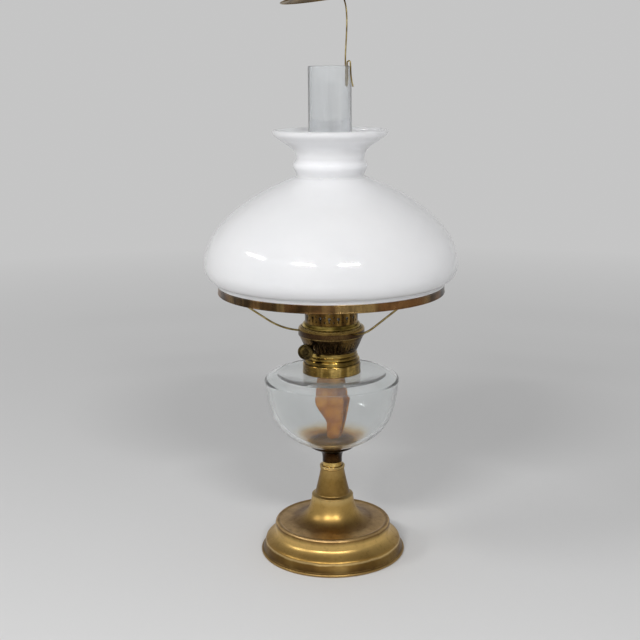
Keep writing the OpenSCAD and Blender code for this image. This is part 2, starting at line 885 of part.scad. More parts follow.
function tail_open(z) = 1 - smooth_step(tail_open_z - 2, tail_roll_z, z);
function tail_left_x(z) = -tail_end_left - (tail_left - tail_end_left)
    * smooth_step(wick_low + 15, wick_low + 42, z);
function tail_right_x(z) = tail_end_right + (tail_right - tail_end_right)
    * pow(min(max((z - wick_low) / 45, 0), 1), 0.75);
function cloth_angle(u, z) = wick_wrap / 2 * u * (1 - tail_open(z));
function cloth_rolled(u) = let (w = wick_wrap / 2 * u) wick_mid_r * [sin(w), -cos(w)];
function cloth_hung(u, z) = let (left = tail_left_x(z), right = tail_right_x(z))
    [left + (right - left) * (u + 1) / 2, tail_fold * sin(270 * u + 30) - 1];
function cloth_middle(u, z) = let (w = tail_open(z)) (1 - w) * cloth_rolled(u) + w * cloth_hung(u, z);
function cloth_point(u, z, side) = let (w = cloth_angle(u, z), q = cloth_middle(u, z))
    [q[0] + side * sin(w) * wick_t / 2, q[1] - side * cos(w) * wick_t / 2, z];

module wick() {
    levels = [
        for (i = [0:8]) wick_low + i * (tail_open_z - wick_low) / 8,
        for (i = [1:9]) tail_open_z + i * (tail_roll_z - tail_open_z) / 9,
        (tail_roll_z + wick_top) / 2,
        wick_top,
    ];
    n = tail_samples;
    ring = 2 * (n + 1);
    points = [for (z = levels) each [
        for (i = [0:n]) cloth_point(2 * i / n - 1, z, 1),
        for (i = [n:-1:0]) cloth_point(2 * i / n - 1, z, -1),
    ]];
    sides = [for (k = [0:len(levels) - 2], i = [0:ring - 1])
        let (a = k * ring + i, b = k * ring + (i + 1) % ring)
            each [[a, a + ring, b], [b, a + ring, b + ring]]];
    last = (len(levels) - 1) * ring;
    ends = [for (i = [0:n - 1])
        let (o = ring - 1 - i)
            each [
                [i, i + 1, o], [i + 1, o - 1, o],
                [last + i, last + o, last + i + 1], [last + i + 1, last + o, last + o - 1],
            ]];
    color("sandybrown") polyhedron(points = points, faces = concat(sides, ends));
}

// Outline of the chimney, from its foot up
foot_r = chimney_foot_d / 2;
waist_r = waist_d / 2;
chimney_r = chimney_d / 2;
waist_z = chimney_low + waist_h;
waist_in = curve(
    [foot_r, waist_z - 17], [foot_r, waist_z - 7],
    [waist_r, waist_z - 7], [waist_r, waist_z], 10
);
waist_out = curve(
    [waist_r, waist_z], [waist_r, waist_z + 6],
    [chimney_r, waist_z + 12], [chimney_r, waist_z + 22], 10
);

module chimney() {
    color("lightblue", 0.4) turned([
        [foot_r - chimney_wall, chimney_low],
        [foot_r, chimney_low],
        each waist_in,
        each [for (i = [1:10]) waist_out[i]],
        [chimney_r, chimney_top],
        [chimney_r - chimney_wall, chimney_top],
        each reversed([for (i = [1:10]) inset(waist_out, chimney_wall)[i]]),
        each reversed(inset(waist_in, chimney_wall)),
    ]);
}

// Points of the smoke bell's wire: a narrow hairpin inside the glass, over the rim and down outside.
// The clip's points are [out from the axis, sideways, height above the chimney's rim].
hairpin = 2.2;
leg_in = chimney_r - chimney_wall - 0.3 - wire_d / 2;
leg_out = chimney_r + 0.3 + wire_d / 2;
rim_mid = (leg_in + leg_out) / 2;
bell_z = chimney_top + bell_lift;
bell_axis = [-sin(bell_tilt), 0, cos(bell_tilt)];
clip_points = [
    [leg_out + 1.7, hairpin * 2, -clip_depth - 1],
    [leg_out + 0.6, hairpin * 1.75, -clip_depth * 0.78],
    [leg_out, hairpin * 1.35, -clip_depth * 0.4],
    for (w = [0:30:180])
        [rim_mid + (leg_out - rim_mid) * cos(w), hairpin, 2.6 + (leg_out - rim_mid) * sin(w)],
    [leg_in, hairpin * 0.85, -clip_depth * 0.4],
    for (w = [0:30:180]) [leg_in, hairpin / 2 * cos(w), -clip_depth + 1 - hairpin / 2 * sin(w)],
    [leg_in, -hairpin / 2, -clip_depth * 0.4],
    [leg_in, -hairpin / 2, 0],
    for (q = curve([leg_in + 0.1, 10], [leg_in + 1, 32], [leg_in + 4.6, 58], [leg_in - 5, bell_lift - 11], 8))
        [q[0], -hairpin / 2 * (1 - (q[1] - 10) / (bell_lift - 10)), q[1]],
];
out_way = [sin(wire_turn), -cos(wire_turn), 0];
side_way = [cos(wire_turn), sin(wire_turn), 0];
wire_clip = [for (q = clip_points) q[0] * out_way + q[1] * side_way + [0, 0, chimney_top + q[2]]];
wire_tip = [0, 0, bell_z];
wire_end = wire_clip[len(wire_clip) - 1];
wire_head = curve(
    wire_end, wire_end - 6 * out_way + [0, 0, 4],
    wire_tip - 7 * bell_axis, wire_tip - 3 * bell_axis, 7
);
// The last stretch runs straight through the bell and into the nut
wire_points = [
    each wire_clip,
    each [for (i = [1:7]) wire_head[i]],
    wire_tip - 2 * bell_axis,
    wire_tip + 3.4 * bell_axis
];

// A tube swept along points, its rings turned as little as possible from one to the next
module swept(p, d, sides) {
    first = unit(cross(along(p, 0), side_way));
    tilts = [
        for (i = 0, n = first; i < len(p); n = next_tilt(n, p, i + 1), i = i + 1) n
    ];
    rings = [for (i = [0:len(p) - 1])
        let (t = along(p, i), a = tilts[i], b = cross(t, a))
            each [for (k = [0:sides - 1]) p[i] + d / 2 * (cos(360 * k / sides) * a + sin(360 * k / sides) * b)]];
    last = (len(p) - 1) * sides;
    walls = [for (i = [0:len(p) - 2], k = [0:sides - 1])
        let (a = i * sides + k, b = i * sides + (k + 1) % sides)
            each [[a, a + sides, b], [b, a + sides, b + sides]]];
    ends = [for (k = [1:sides - 2]) each [[0, k, k + 1], [last, last + k + 1, last + k]]];
    polyhedron(points = rings, faces = concat(walls, ends));
}

function next_tilt(n, p, i) = let (t = along(p, min(i, len(p) - 1))) unit(n - (n * t) * t);

module smoke_bell_wire() {
    color("khaki") swept(wire_points, wire_d, 8);
}

// Places a child on the smoke bell's tilted axis
module on_bell() {
    translate(wire_tip) rotate([0, -bell_tilt, 0]) children();
}

module smoke_bell() {
    r = bell_d / 2;
    top_line = curve([r - 0.8, -bell_depth + 1.2], [r - 8, -bell_depth + 3.6], [r * 0.5, 0], [4.5, 0], 12);
    color("goldenrod") on_bell() turned([
        [wire_d / 2 + 0.1, 0],
        [wire_d / 2 + 0.1, -bell_wall],
        [4.5, -bell_wall],
        each reversed([for (i = [1:11]) top_line[i] - [0, bell_wall]]),
        [r - 1.6, -bell_depth],
        [r - 0.4, -bell_depth],
        [r, -bell_depth + 0.6],
        each top_line,
    ]);
}

module smoke_bell_nut() {
    color("gold") on_bell() difference() {
        cylinder(d = bell_nut_d, h = 4, $fn = 6);
        translate([0, 0, -1]) cylinder(r = wire_d / 2, h = 4.4, $fn = small);
    }
}

// Collar that drops over the gallery and rests on the drum's flange
module tripod_collar() {
    r = tripod_collar_d / 2;
    bore = gallery_d / 2 + 0.3 + free_gap + 0.1;
    top = tripod_low + tripod_collar_h;
    w = tripod_wall;
    color("darkgoldenrod") turned([
        [bore, tripod_low],
        [r - 0.2, tripod_low],
        [r, tripod_low + 0.4],
        [r, top - 4],
        [r - 0.3, top - 2.6],
        [r - 1, top - 1.5],
        [r - 2.2, top - 0.6],
        [bore, top],
        [bore, top - w],
        [r - 2.5, top - 0.6 - w],
        [r - 1.7, top - 1.3 - w],
        [r - w, top - 3.4],
        [r - w, tripod_low + w],
        [bore, tripod_low + w],
    ]);
}

// Ends of a wire: soldered into the tripod's collar and against the inside of the ring's collar
solder = 0.35;
arm_start = [tripod_collar_d / 2 - 1.4, tripod_low + 5.2];
arm_end_r = ring_collar_d / 2 - ring_wall - arm_d / 2 + solder;
first_slope = 6;

// Points of a wire in the plane y = 0: short straight, wide bend, long straight and a bend up to the ring
arm_low_c = arm_start + arm_bend * [-sin(first_slope), cos(first_slope)];
arm_high_c = [arm_end_r - arm_hook, arm_low_c[1] - arm_bend * cos(arm_slope)
    + (arm_end_r - arm_hook * (1 - sin(arm_slope)) - arm_low_c[0] - arm_bend * sin(arm_slope)) * tan(arm_slope)
    + arm_hook * cos(arm_slope)];
arm_plane = [
    arm_start - 1.2 * [cos(first_slope), sin(first_slope)],
    each arc(arm_low_c, arm_bend, first_slope - 90, arm_slope - 90, 10),
    each arc(arm_high_c, arm_hook, arm_slope - 90, 0, 10),
    [arm_end_r, max(arm_high_c[1] + 0.5, ledge_z + ring_collar_h / 2)],
];
arm_points = [for (q = arm_plane) [q[0], 0, q[1]]];

module tripod_arm(index) {
    color("khaki") rotate([0, 0, arm_turn - 90 + 120 * index]) swept(arm_points, arm_d, 12);
}

module tripod_arm_1() {
    tripod_arm(0);
}

module tripod_arm_2() {
    tripod_arm(1);
}

module tripod_arm_3() {
    tripod_arm(2);
}

// Ring that carries the shade: an upright band with a beaded lower edge, a ledge and a centring collar
module shade_ring() {
    r = ring_d / 2;
    c = ring_collar_d / 2;
    w = ring_wall;
    low = ledge_z - ring_depth;
    band_r = r - 0.5;
    color("saddlebrown") turned([
        [band_r - w, low + 0.4],
        [band_r - w + 0.4, low],
        [band_r, low],
        [band_r + 0.4, low + 0.4],
        [band_r + 0.4, low + 1.1],
        [band_r, low + 1.5],
        [band_r, ledge_z - w - 0.4],
        [r, ledge_z - w],
        [r, ledge_z - 0.2],
        [r - 0.2, ledge_z],
        [c, ledge_z],
        [c, ledge_z + ring_collar_h],
        [c - w, ledge_z + ring_collar_h],
        [c - w, ledge_z - w],
        [band_r - w, ledge_z - w],
    ]);
}

// Outline of the shade, from the fitter up, over the beaded neck to the flared edge
neck_z = shade_low + dome_rise;
neck_r = shade_neck_d / 2;
top_z = shade_low + shade_h;
top_r = shade_top_d / 2;
fitter_r = fitter_d / 2;
shade_r = shade_d / 2;
edge_z = shade_low + fitter_h + 0.2;
wide_z = edge_z + shade_round * sin(62);
// The rounded edge leaves the fitter's band and turns up to the widest level
shade_edge = curve(
    [fitter_r + (shade_r - fitter_r) * 0.22, edge_z],
    [fitter_r + (shade_r - fitter_r) * 0.7, edge_z + shade_round * 0.174],
    [shade_r, wide_z - shade_round * 0.37],
    [shade_r, wide_z], 8
);
shade_dome = curve(
    [shade_r, wide_z],
    [shade_r, wide_z + (neck_z - wide_z) * 0.402],
    [neck_r + 57.5, neck_z - 20],
    [neck_r + 5.9, neck_z], 20
);
shade_bead = [
    each curve([neck_r + 2.5, neck_z + 1.3], [neck_r + 0.4, neck_z + 1.7], [neck_r, neck_z + 2], [neck_r, neck_z + 3.6], 4),
    each curve(
        [neck_r + 0.1, neck_z + 4.2], [neck_r + 0.6, neck_z + 7.4],
        [shade_bead_d / 2, neck_z + 9.4], [shade_bead_d / 2, neck_z + 12.5], 6
    ),
    each curve(
        [shade_bead_d / 2 - 0.02, neck_z + 13], [shade_bead_d / 2, neck_z + 16],
        [neck_r + 0.3, neck_z + 16.8], [neck_r + 0.3, neck_z + 20], 6
    ),
];
shade_flare = curve(
    [neck_r + 0.4, neck_z + 21], [neck_r + 0.6, neck_z + 30.4],
    [top_r - 13.6, top_z - 15.2], [top_r - 7.4, top_z - 10], 10
);
shade_lip = curve(
    [top_r - 6.8, top_z - 9.6], [top_r - 2.6, top_z - 6.6],
    [top_r, top_z - 5.4], [top_r, top_z - 0.6], 6
);

module shade() {
    w = shade_wall;
    inside = [
        [fitter_r - w, shade_low],
        [fitter_r - w, shade_low + fitter_h - 0.5],
        each inset(shade_edge, w),
        each inset([for (i = [1:20]) shade_dome[i]], w),
        [neck_r - w, neck_z + 2],
        [neck_r - w, neck_z + 20],
        each inset(shade_flare, w),
        each inset([for (i = [1:5]) shade_lip[i]], w * 0.9),
    ];
    color("white") turned([
        [fitter_r, shade_low],
        [fitter_r, shade_low + fitter_h],
        each shade_edge,
        each [for (i = [1:20]) shade_dome[i]],
        each shade_bead,
        each shade_flare,
        each shade_lip,
        [top_r - 0.6, top_z],
        [top_r - w * 0.9, top_z],
        each reversed(inside),
    ]);
}

foot_shell();
foot_weight();
base_plate();
base_washer();
tie_rod();
tie_nut();
stem_ring();
font_cup();
cup_plaster();
glass_font();
collar_plaster();
font_collar();
burner_base();
burner_drum();
outer_wick_tube();
inner_draught_tube();
wheel_bracket();
shaft_bush();
gallery_seat();
gallery_crown();
wick();
wick_shaft();
wick_wheels();
wick_knob();
chimney();
smoke_bell_wire();
smoke_bell();
smoke_bell_nut();
tripod_collar();
tripod_arm_1();
tripod_arm_2();
tripod_arm_3();
shade_ring();
shade();
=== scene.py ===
import math

import bmesh
import bpy
import numpy as np
from mathutils import Matrix, Vector


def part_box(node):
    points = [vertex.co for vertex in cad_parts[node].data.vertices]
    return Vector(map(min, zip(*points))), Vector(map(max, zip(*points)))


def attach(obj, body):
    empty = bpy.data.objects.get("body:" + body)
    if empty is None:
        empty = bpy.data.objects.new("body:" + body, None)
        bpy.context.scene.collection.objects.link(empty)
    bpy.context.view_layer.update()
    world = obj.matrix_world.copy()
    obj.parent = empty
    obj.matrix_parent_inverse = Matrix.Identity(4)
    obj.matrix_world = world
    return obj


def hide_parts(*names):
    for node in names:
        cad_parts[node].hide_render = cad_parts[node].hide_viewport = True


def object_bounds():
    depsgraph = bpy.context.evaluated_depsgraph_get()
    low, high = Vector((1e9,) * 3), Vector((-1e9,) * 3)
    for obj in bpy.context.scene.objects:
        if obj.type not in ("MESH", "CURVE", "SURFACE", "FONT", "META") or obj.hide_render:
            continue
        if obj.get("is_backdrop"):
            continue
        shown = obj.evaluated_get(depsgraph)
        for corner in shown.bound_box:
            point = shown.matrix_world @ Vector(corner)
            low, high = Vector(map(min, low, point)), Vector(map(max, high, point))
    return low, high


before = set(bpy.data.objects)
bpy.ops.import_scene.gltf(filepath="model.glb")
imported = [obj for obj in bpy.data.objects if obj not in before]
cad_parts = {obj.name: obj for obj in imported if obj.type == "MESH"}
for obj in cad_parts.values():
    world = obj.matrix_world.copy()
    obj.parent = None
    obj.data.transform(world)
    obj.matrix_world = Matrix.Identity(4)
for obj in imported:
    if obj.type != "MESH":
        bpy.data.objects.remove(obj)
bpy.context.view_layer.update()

print("frame loaded:", len(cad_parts), "nodes")

# Lines and meshes: outlines are lists of (radius, height) in millimetres, meshes are in metres.
# In the dictionaries of sizes, names that end in R are radii and those in H are heights over the floor.

mergeGap = 1e-7  # corners nearer than this become one, in metres


def curve(a, b, c, d, n):
    # cubic from a to d with the handles b and c, n + 1 points
    t = np.linspace(0, 1, n + 1)[:, None]
    s = 1 - t
    a, b, c, d = (np.array(p, float) for p in (a, b, c, d))
    return s**3 * a + 3 * s**2 * t * b + 3 * s * t**2 * c + t**3 * d


def arc(centre, r, start, end, n):
    # n + 1 points of a circle round centre, angles in degrees
    w = np.radians(np.linspace(start, end, n + 1))
    return np.array(centre, float) + r * np.stack([np.cos(w), np.sin(w)], 1)


def inset(line, d):
    # the line moved to its left by d, at right angles to its own direction
    t = np.gradient(line, axis=0)
    t /= np.linalg.norm(t, axis=1)[:, None]
    return line + d * np.stack([-t[:, 1], t[:, 0]], 1)


def joined(*parts):
    # single points and lines of points, put end to end as one line
    return np.concatenate([np.atleast_2d(np.array(p, float)) for p in parts])


def smoothObject(name, mesh, crease):
    # corners merged and faces shaded smooth; edges sharper than crease degrees stay sharp
    work = bmesh.new()
    work.from_mesh(mesh)
    bmesh.ops.remove_doubles(work, verts=work.verts, dist=mergeGap)
    work.to_mesh(mesh)
    work.free()
    mesh.shade_smooth()
    mesh.set_sharp_from_angle(angle=math.radians(crease))
    obj = bpy.data.objects.new(name, mesh)
    bpy.context.scene.collection.objects.link(obj)
    return obj


def makeObject(name, points, faces, uv, crease=32):
    # points in mm, four corners a face, one (u, v) pair a corner
    mesh = bpy.data.meshes.new(name)
    mesh.from_pydata((points / 1000).tolist(), [], faces.tolist())
    layer = mesh.uv_layers.new(name="UVMap")
    layer.data.foreach_set("uv", uv.astype(np.float32).ravel())
    return smoothObject(name, mesh, crease)


def gridFaces(rows, columns, roundRows, roundColumns):
    # faces between neighbouring rows and columns; a round direction also joins its last line to its first
    i, j = np.meshgrid(
        np.arange(rows if roundRows else rows - 1),
        np.arange(columns if roundColumns else columns - 1),
        indexing="ij",
    )
    i2, j2 = (i + 1) % rows, (j + 1) % columns
    corners = [i * columns + j, i * columns + j2, i2 * columns + j2, i2 * columns + j]
    return np.stack(corners, -1).reshape(-1, 4), i.ravel(), j.ravel()


def cornerUv(u, u2, v, v2):
    # the four corners of each face, in the order of gridFaces, from its u range and its v range
    return np.stack([u, v, u2, v, u2, v2, u, v2], 1)


def turned(name, outline, steps=160, place=None, wave=None, crease=32):
    # a closed outline carried once round the axis: x = r cos a, y = r sin a, z = height.
    # wave(r, a, h) gives another r, and place is a matrix that moves the finished points.
    line = np.array(outline, float)
    r1, h1 = line[:, 0], line[:, 1]
    if np.sum(r1 * np.roll(h1, -1) - np.roll(r1, -1) * h1) < 0:
        line = line[::-1]
    rows = len(line)
    h, a = np.meshgrid(line[:, 1], np.linspace(0, 2 * np.pi, steps, endpoint=False), indexing="ij")
    r = np.repeat(line[:, :1], steps, 1)
    if wave:
        r = np.where(r > 0.01, wave(r, a, h), r)
    points = np.stack([r * np.cos(a), r * np.sin(a), h], -1).reshape(-1, 3)
    faces, i, j = gridFaces(rows, steps, True, True)
    step = np.linalg.norm(np.diff(np.vstack([line, line[:1]]), axis=0), axis=1)
    run = np.concatenate([[0], np.cumsum(step)]) / 1000
    uv = cornerUv(j / steps, (j + 1) / steps, run[i], run[i + 1])
    if place is not None:
        points = points @ place[:3, :3].T + place[:3, 3]
    return makeObject(name, points, faces, uv, crease)


def tube(name, path, radius, sides, lean):
    # rings of a given radius across a path, smaller at its rounded ends: centre + radius (a cos w + b sin w).
    # lean is any direction that the path never takes, and sets where a ring starts.
    path = np.array(path, float)
    t = np.gradient(path, axis=0)
    t /= np.linalg.norm(t, axis=1)[:, None]
    a = np.cross(t, np.array(lean, float))
    a /= np.linalg.norm(a, axis=1)[:, None]
    b = np.cross(t, a)
    rim = np.array([0, 0.55, 0.9, 1.0])
    back = radius * np.array([0, 0.12, 0.45, 1.0])  # rounded ends inside the path's own length
    size = np.concatenate([rim, np.ones(len(path) - 2), rim[::-1]]) * radius
    first = path[0] + t[0] * back[:, None]
    last = path[-1] - t[-1] * back[::-1, None]
    line = np.concatenate([first, path[1:-1], last])
    a, b = (np.concatenate([np.repeat(q[:1], len(rim), 0), q[1:-1], np.repeat(q[-1:], len(rim), 0)]) for q in (a, b))
    w = np.linspace(0, 2 * np.pi, sides, endpoint=False)
    ring = np.cos(w)[None, :, None] * a[:, None] + np.sin(w)[None, :, None] * b[:, None]
    points = (line[:, None] + size[:, None, None] * ring).reshape(-1, 3)
    faces, i, j = gridFaces(len(line), sides, False, True)
    run = np.concatenate([[0], np.cumsum(np.linalg.norm(np.diff(line, axis=0), axis=1))]) / 1000
    return makeObject(name, points, faces, cornerUv(j / sides, (j + 1) / sides, run[i], run[i + 1]), 60)


def smoothPath(points, between):
    # a curve through the points: each stretch is the usual cubic through four neighbours, between points a stretch
    p = np.array(points, float)
    p = np.vstack([2 * p[0] - p[1], p, 2 * p[-1] - p[-2]])
    t = (np.arange(between) / between)[None, :, None]
    p0, p1, p2, p3 = (p[k:len(p) - 3 + k][:, None] for k in range(4))
    run = p1 + 0.5 * t * (p2 - p0 + t * (2 * p0 - 5 * p1 + 4 * p2 - p3 + t * (3 * p1 - p0 - 3 * p2 + p3)))
    return np.vstack([run.reshape(-1, p.shape[1]), p[-2]])


def turn(axis, degrees):
    # the matrix of a turn about one axis through the origin
    return np.array(Matrix.Rotation(math.radians(degrees), 4, axis))


def shift(x, y, z):
    # the matrix of a move
    return np.array(Matrix.Translation((x, y, z)))


def smoothCopy(name, node, crease=32):
    # the CAD node's own mesh with its corners merged and its round faces shaded smooth
    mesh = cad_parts[node].data.copy()
    mesh.name = name
    for extra in [a for a in mesh.attributes if a.name == "custom_normal"]:
        mesh.attributes.remove(extra)
    mesh.materials.clear()
    return smoothObject(name, mesh, crease)


def mount(obj, body, slot, material, *nodes):
    # puts a finished piece on its body in place of CAD nodes
    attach(obj, body)
    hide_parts(*nodes)
    obj.data.materials.clear()
    obj.data.materials.append(material)
    return obj


# Finishes


def paint(r, g, b):
    # a screen colour, 0 to 255, as the linear colour of a socket
    c = np.array([r, g, b]) / 255
    lin = np.where(c <= 0.04045, c / 12.92, ((c + 0.055) / 1.055) ** 2.4)
    return (*[float(x) for x in lin], 1.0)


def grey(share):
    # an even linear grey, for a ramp that gives amounts
    return (share, share, share, 1.0)


def startFinish(name, **sockets):
    # a new material, with some of its shader's sockets set; an underscore stands for a space in a socket's name
    mat = bpy.data.materials.new(name)
    mat.use_nodes = True
    shader = mat.node_tree.nodes["Principled BSDF"]
    for socket, value in sockets.items():
        shader.inputs[socket.replace("_", " ")].default_value = value
    return mat, mat.node_tree, shader


def noise(tree, source, scale, detail=5, stretch=(1, 1, 1), roughness=0.55):
    # cloudy values from 0 to 1, about scale clouds a metre, over the coordinates named source
    coords = tree.nodes.new("ShaderNodeTexCoord")
    mapping = tree.nodes.new("ShaderNodeMapping")
    mapping.inputs["Scale"].default_value = stretch
    texture = tree.nodes.new("ShaderNodeTexNoise")
    texture.inputs["Scale"].default_value = scale
    texture.inputs["Detail"].default_value = detail
    texture.inputs["Roughness"].default_value = roughness
    tree.links.new(coords.outputs[source], mapping.inputs["Vector"])
    tree.links.new(mapping.outputs["Vector"], texture.inputs["Vector"])
    return texture.outputs["Fac"]


def ramp(tree, factor, stops):
    # stops are (place, colour) pairs from low to high
    node = tree.nodes.new("ShaderNodeValToRGB")
    marks = node.color_ramp.elements
    while len(marks) < len(stops):
        marks.new(0.5)
    for mark, (place, colour) in zip(marks, stops):
        mark.position = place
        mark.color = colour
    tree.links.new(factor, node.inputs["Fac"])
    return node.outputs["Color"]


def blendColours(tree, factor, a, b, kind="MIX"):
    # colour a turning into b; factor is a number or a socket, and each colour is a tuple or a socket
    node = tree.nodes.new("ShaderNodeMix")
    node.data_type = "RGBA"
    node.blend_type = kind
    if isinstance(factor, float):
        node.inputs[0].default_value = factor
    else:
        tree.links.new(factor, node.inputs[0])
    for socket, value in ((6, a), (7, b)):
        if isinstance(value, tuple):
            node.inputs[socket].default_value = value
        else:
            tree.links.new(value, node.inputs[socket])
    return node.outputs[2]


def spread(tree, value, low, high, fromLow=0.3, fromHigh=0.7):
    # the range fromLow to fromHigh of a value, spread over low to high and held at its ends
    node = tree.nodes.new("ShaderNodeMapRange")
    node.inputs["From Min"].default_value = fromLow
    node.inputs["From Max"].default_value = fromHigh
    node.inputs["To Min"].default_value = low
    node.inputs["To Max"].default_value = high
    tree.links.new(value, node.inputs["Value"])
    return node.outputs["Result"]


def relief(tree, shader, heights, distance):
    # heights are (value, strength) pairs, one bump on top of the other
    last = None
    for value, strength in heights:
        bump = tree.nodes.new("ShaderNodeBump")
        bump.inputs["Strength"].default_value = strength
        bump.inputs["Distance"].default_value = distance
        tree.links.new(value, bump.inputs["Height"])
        if last:
            tree.links.new(last, bump.inputs["Normal"])
        last = bump.outputs["Normal"]
    tree.links.new(last, shader.inputs["Normal"])


def heightFactor(tree, low, high, wobble):
    # 0 at the height low and 1 at high, in metres, with a little noise on it
    coords = tree.nodes.new("ShaderNodeTexCoord")
    split = tree.nodes.new("ShaderNodeSeparateXYZ")
    tree.links.new(coords.outputs["Object"], split.inputs["Vector"])
    level = spread(tree, split.outputs["Z"], 0, 1, low, high)
    add = tree.nodes.new("ShaderNodeMath")
    add.operation = "ADD"
    tree.links.new(level, add.inputs[0])
    tree.links.new(spread(tree, noise(tree, "Object", 60, 3), -wobble, wobble), add.inputs[1])
    return add.outputs["Value"]


def brass(name, dark, mid, light, rough=(0.2, 0.42), patches=28, linesUv=True, stain=0.3, streaks=0, blush=None):
    # lacquered brass gone uneven: patches of tarnish, small dark stains, fine turning lines and soft dents.
    # streaks is how many marks a metre run down the wall, 0 for none: upright light and dark marks, partly streaky
    # tarnish and partly painted reflection streaks. blush is the colour of wide copper-coloured patches, partly
    # painted warm reflections.
    mat, tree, shader = startFinish(name, Metallic=1.0)
    wide = noise(tree, "Object", patches, 6)
    # upright marks that stand partly for painted reflection streaks
    marks = noise(tree, "Object", streaks, 3, (1, 1, 0.12)) if streaks else wide
    tone = ramp(tree, marks, [(0.34, dark), (0.5, mid), (0.64, light)])
    if blush:
        # wide patches of the blush colour, partly painted warm reflections
        tone = blendColours(tree, spread(tree, noise(tree, "Object", 17, 2), 0.0, 0.6, 0.44, 0.6), tone, blush)
    spots = noise(tree, "Object", patches * 7, 4, roughness=0.7)
    stains = spread(tree, spots, stain, 0.0, 0.34, 0.5)
    tone = blendColours(tree, stains, tone, dark)
    tree.links.new(tone, shader.inputs["Base Color"])
    tree.links.new(spread(tree, spots, rough[1], rough[0]), shader.inputs["Roughness"])
    heights = [(wide, 0.06), (spots, 0.025)]
    if linesUv:
        heights.append((noise(tree, "UV", 1.0, 2, (5, 2600, 1)), 0.06))
    relief(tree, shader, heights, 0.0006)
    return mat


footTonesAndPaintedLight = {  # colour of the foot by height in mm: the brass's own tones with painted light in bands, painted highlights at the rim bead, the crease, the dome, the shoulder's ridge, the cone's ridge and the lip, and painted shade on the skirt, under the shoulder's ridge and on the cone
    0: (186, 158, 108), 3: (158, 128, 78), 4.4: (66, 48, 26), 10.5: (98, 72, 34), 12.2: (226, 198, 140),
    13.6: (162, 126, 64), 20: (222, 186, 114), 27: (226, 190, 118), 31.6: (92, 66, 38), 33.2: (226, 190, 136),
    34.6: (140, 108, 68), 38: (144, 114, 66), 44: (182, 150, 86), 55: (196, 162, 94), 61.4: (222, 194, 130),
    65: (110, 86, 44), 80: (126, 100, 52), 92: (160, 132, 80), 95.4: (210, 186, 130),
}
tripodTonesAndPaintedLight = {  # colour of the tripod's collar by height in mm: painted highlights along its lower edge and its rolled top, painted shade on the wall between
    238.8: (196, 170, 112), 239.3: (130, 104, 62), 239.6: (48, 34, 20), 242.5: (66, 46, 30), 244.6: (60, 42, 26),
    245.6: (160, 130, 70), 248.4: (196, 166, 96),
}


def bandedBrass(name, tones, wobble, cloudy, share, rough, patches=26):
    # spun brass whose colour goes by height, the tones given painting highlights and shade in bands round it, with
    # cloudy patches over a share of it and small dark spots
    mat, tree, shader = startFinish(name, Metallic=1.0)
    low, top = min(tones), max(tones)
    level = heightFactor(tree, low / 1000, top / 1000, wobble)
    bands = ramp(tree, level, [((h - low) / (top - low), paint(*c)) for h, c in tones.items()])
    wide = noise(tree, "Object", patches, 6)
    clouds = ramp(tree, wide, [(place, paint(*c)) for place, c in zip((0.32, 0.5, 0.66), cloudy)])
    tone = blendColours(tree, share, bands, clouds)
    spots = noise(tree, "Object", patches * 8, 4, roughness=0.7)
    tone = blendColours(tree, spread(tree, spots, 0.16, 0.0, 0.34, 0.46), tone, paint(70, 52, 34))
    tree.links.new(tone, shader.inputs["Base Color"])
    tree.links.new(spread(tree, spots, rough[1], rough[0]), shader.inputs["Roughness"])
    spun = noise(tree, "UV", 1.0, 2, (4, 2200, 1))
    relief(tree, shader, [(wide, 0.05), (spots, 0.008), (spun, 0.05)], 0.0006)
    return mat


def glass(name, tint, clear, rough, streaks, stretch, scale, ior):
    # clear glass with a faint tint and the drawn streaks of old glass; clear is the least and the most that passes
    mat, tree, shader = startFinish(name, IOR=ior, Metallic=0.0)
    film = noise(tree, "Object", scale, 4, stretch)
    colour = ramp(tree, film, [(0.3, tint), (0.75, paint(254, 255, 255))])
    passing = spread(tree, film, *clear)
    tree.links.new(colour, shader.inputs["Base Color"])
    tree.links.new(passing, shader.inputs["Transmission Weight"])
    tree.links.new(spread(tree, film, rough[0], rough[1]), shader.inputs["Roughness"])
    relief(tree, shader, [(film, streaks)], 0.0008)
    return mat, tree, shader, colour, passing


def fontGlassFinish():
    # the font's glass, with the brown film that old oil leaves on its floor and a little dust on its shoulder
    mat, tree, shader, colour, passing = glass(
        "fontGlass", paint(250, 251, 251), (0.95, 0.985), (0.0, 0.02), 0.06, (1, 1, 0.6), 22, 1.36
    )
    level = heightFactor(tree, 0.118, 0.2, 0.012)
    stain = ramp(tree, level, [
        (0.03, paint(190, 130, 62)), (0.06, paint(218, 170, 104)), (0.09, paint(244, 228, 198)),
        (0.14, paint(254, 255, 255)),
    ])
    veil = ramp(tree, level, [
        (0.03, grey(0.72)), (0.06, grey(0.92)), (0.09, grey(1.0)), (0.84, grey(1.0)), (1.0, grey(0.93)),
    ])
    tree.links.new(blendColours(tree, 1.0, colour, stain, "MULTIPLY"), shader.inputs["Base Color"])
    tree.links.new(blendColours(tree, 1.0, passing, veil, "MULTIPLY"), shader.inputs["Transmission Weight"])
    return mat


def opalFinish():
    # opal glass: white all through, glossy, with a very slight orange peel
    mat, tree, shader = startFinish(
        "opalGlass", Subsurface_Weight=0.8, Subsurface_Scale=0.01, Coat_Weight=1.0, Coat_Roughness=0.03, IOR=1.5,
        Specular_IOR_Level=0.1,
    )
    shader.inputs["Subsurface Radius"].default_value = (1.0, 1.0, 1.0)
    cloud = noise(tree, "Object", 9, 4)
    white = ramp(tree, cloud, [(0.3, paint(222, 223, 226)), (0.7, paint(228, 228, 230))])
    tree.links.new(white, shader.inputs["Base Color"])
    tree.links.new(spread(tree, noise(tree, "Object", 70, 3), 0.14, 0.24), shader.inputs["Roughness"])
    relief(tree, shader, [(noise(tree, "Object", 14, 2), 0.05)], 0.002)
    return mat


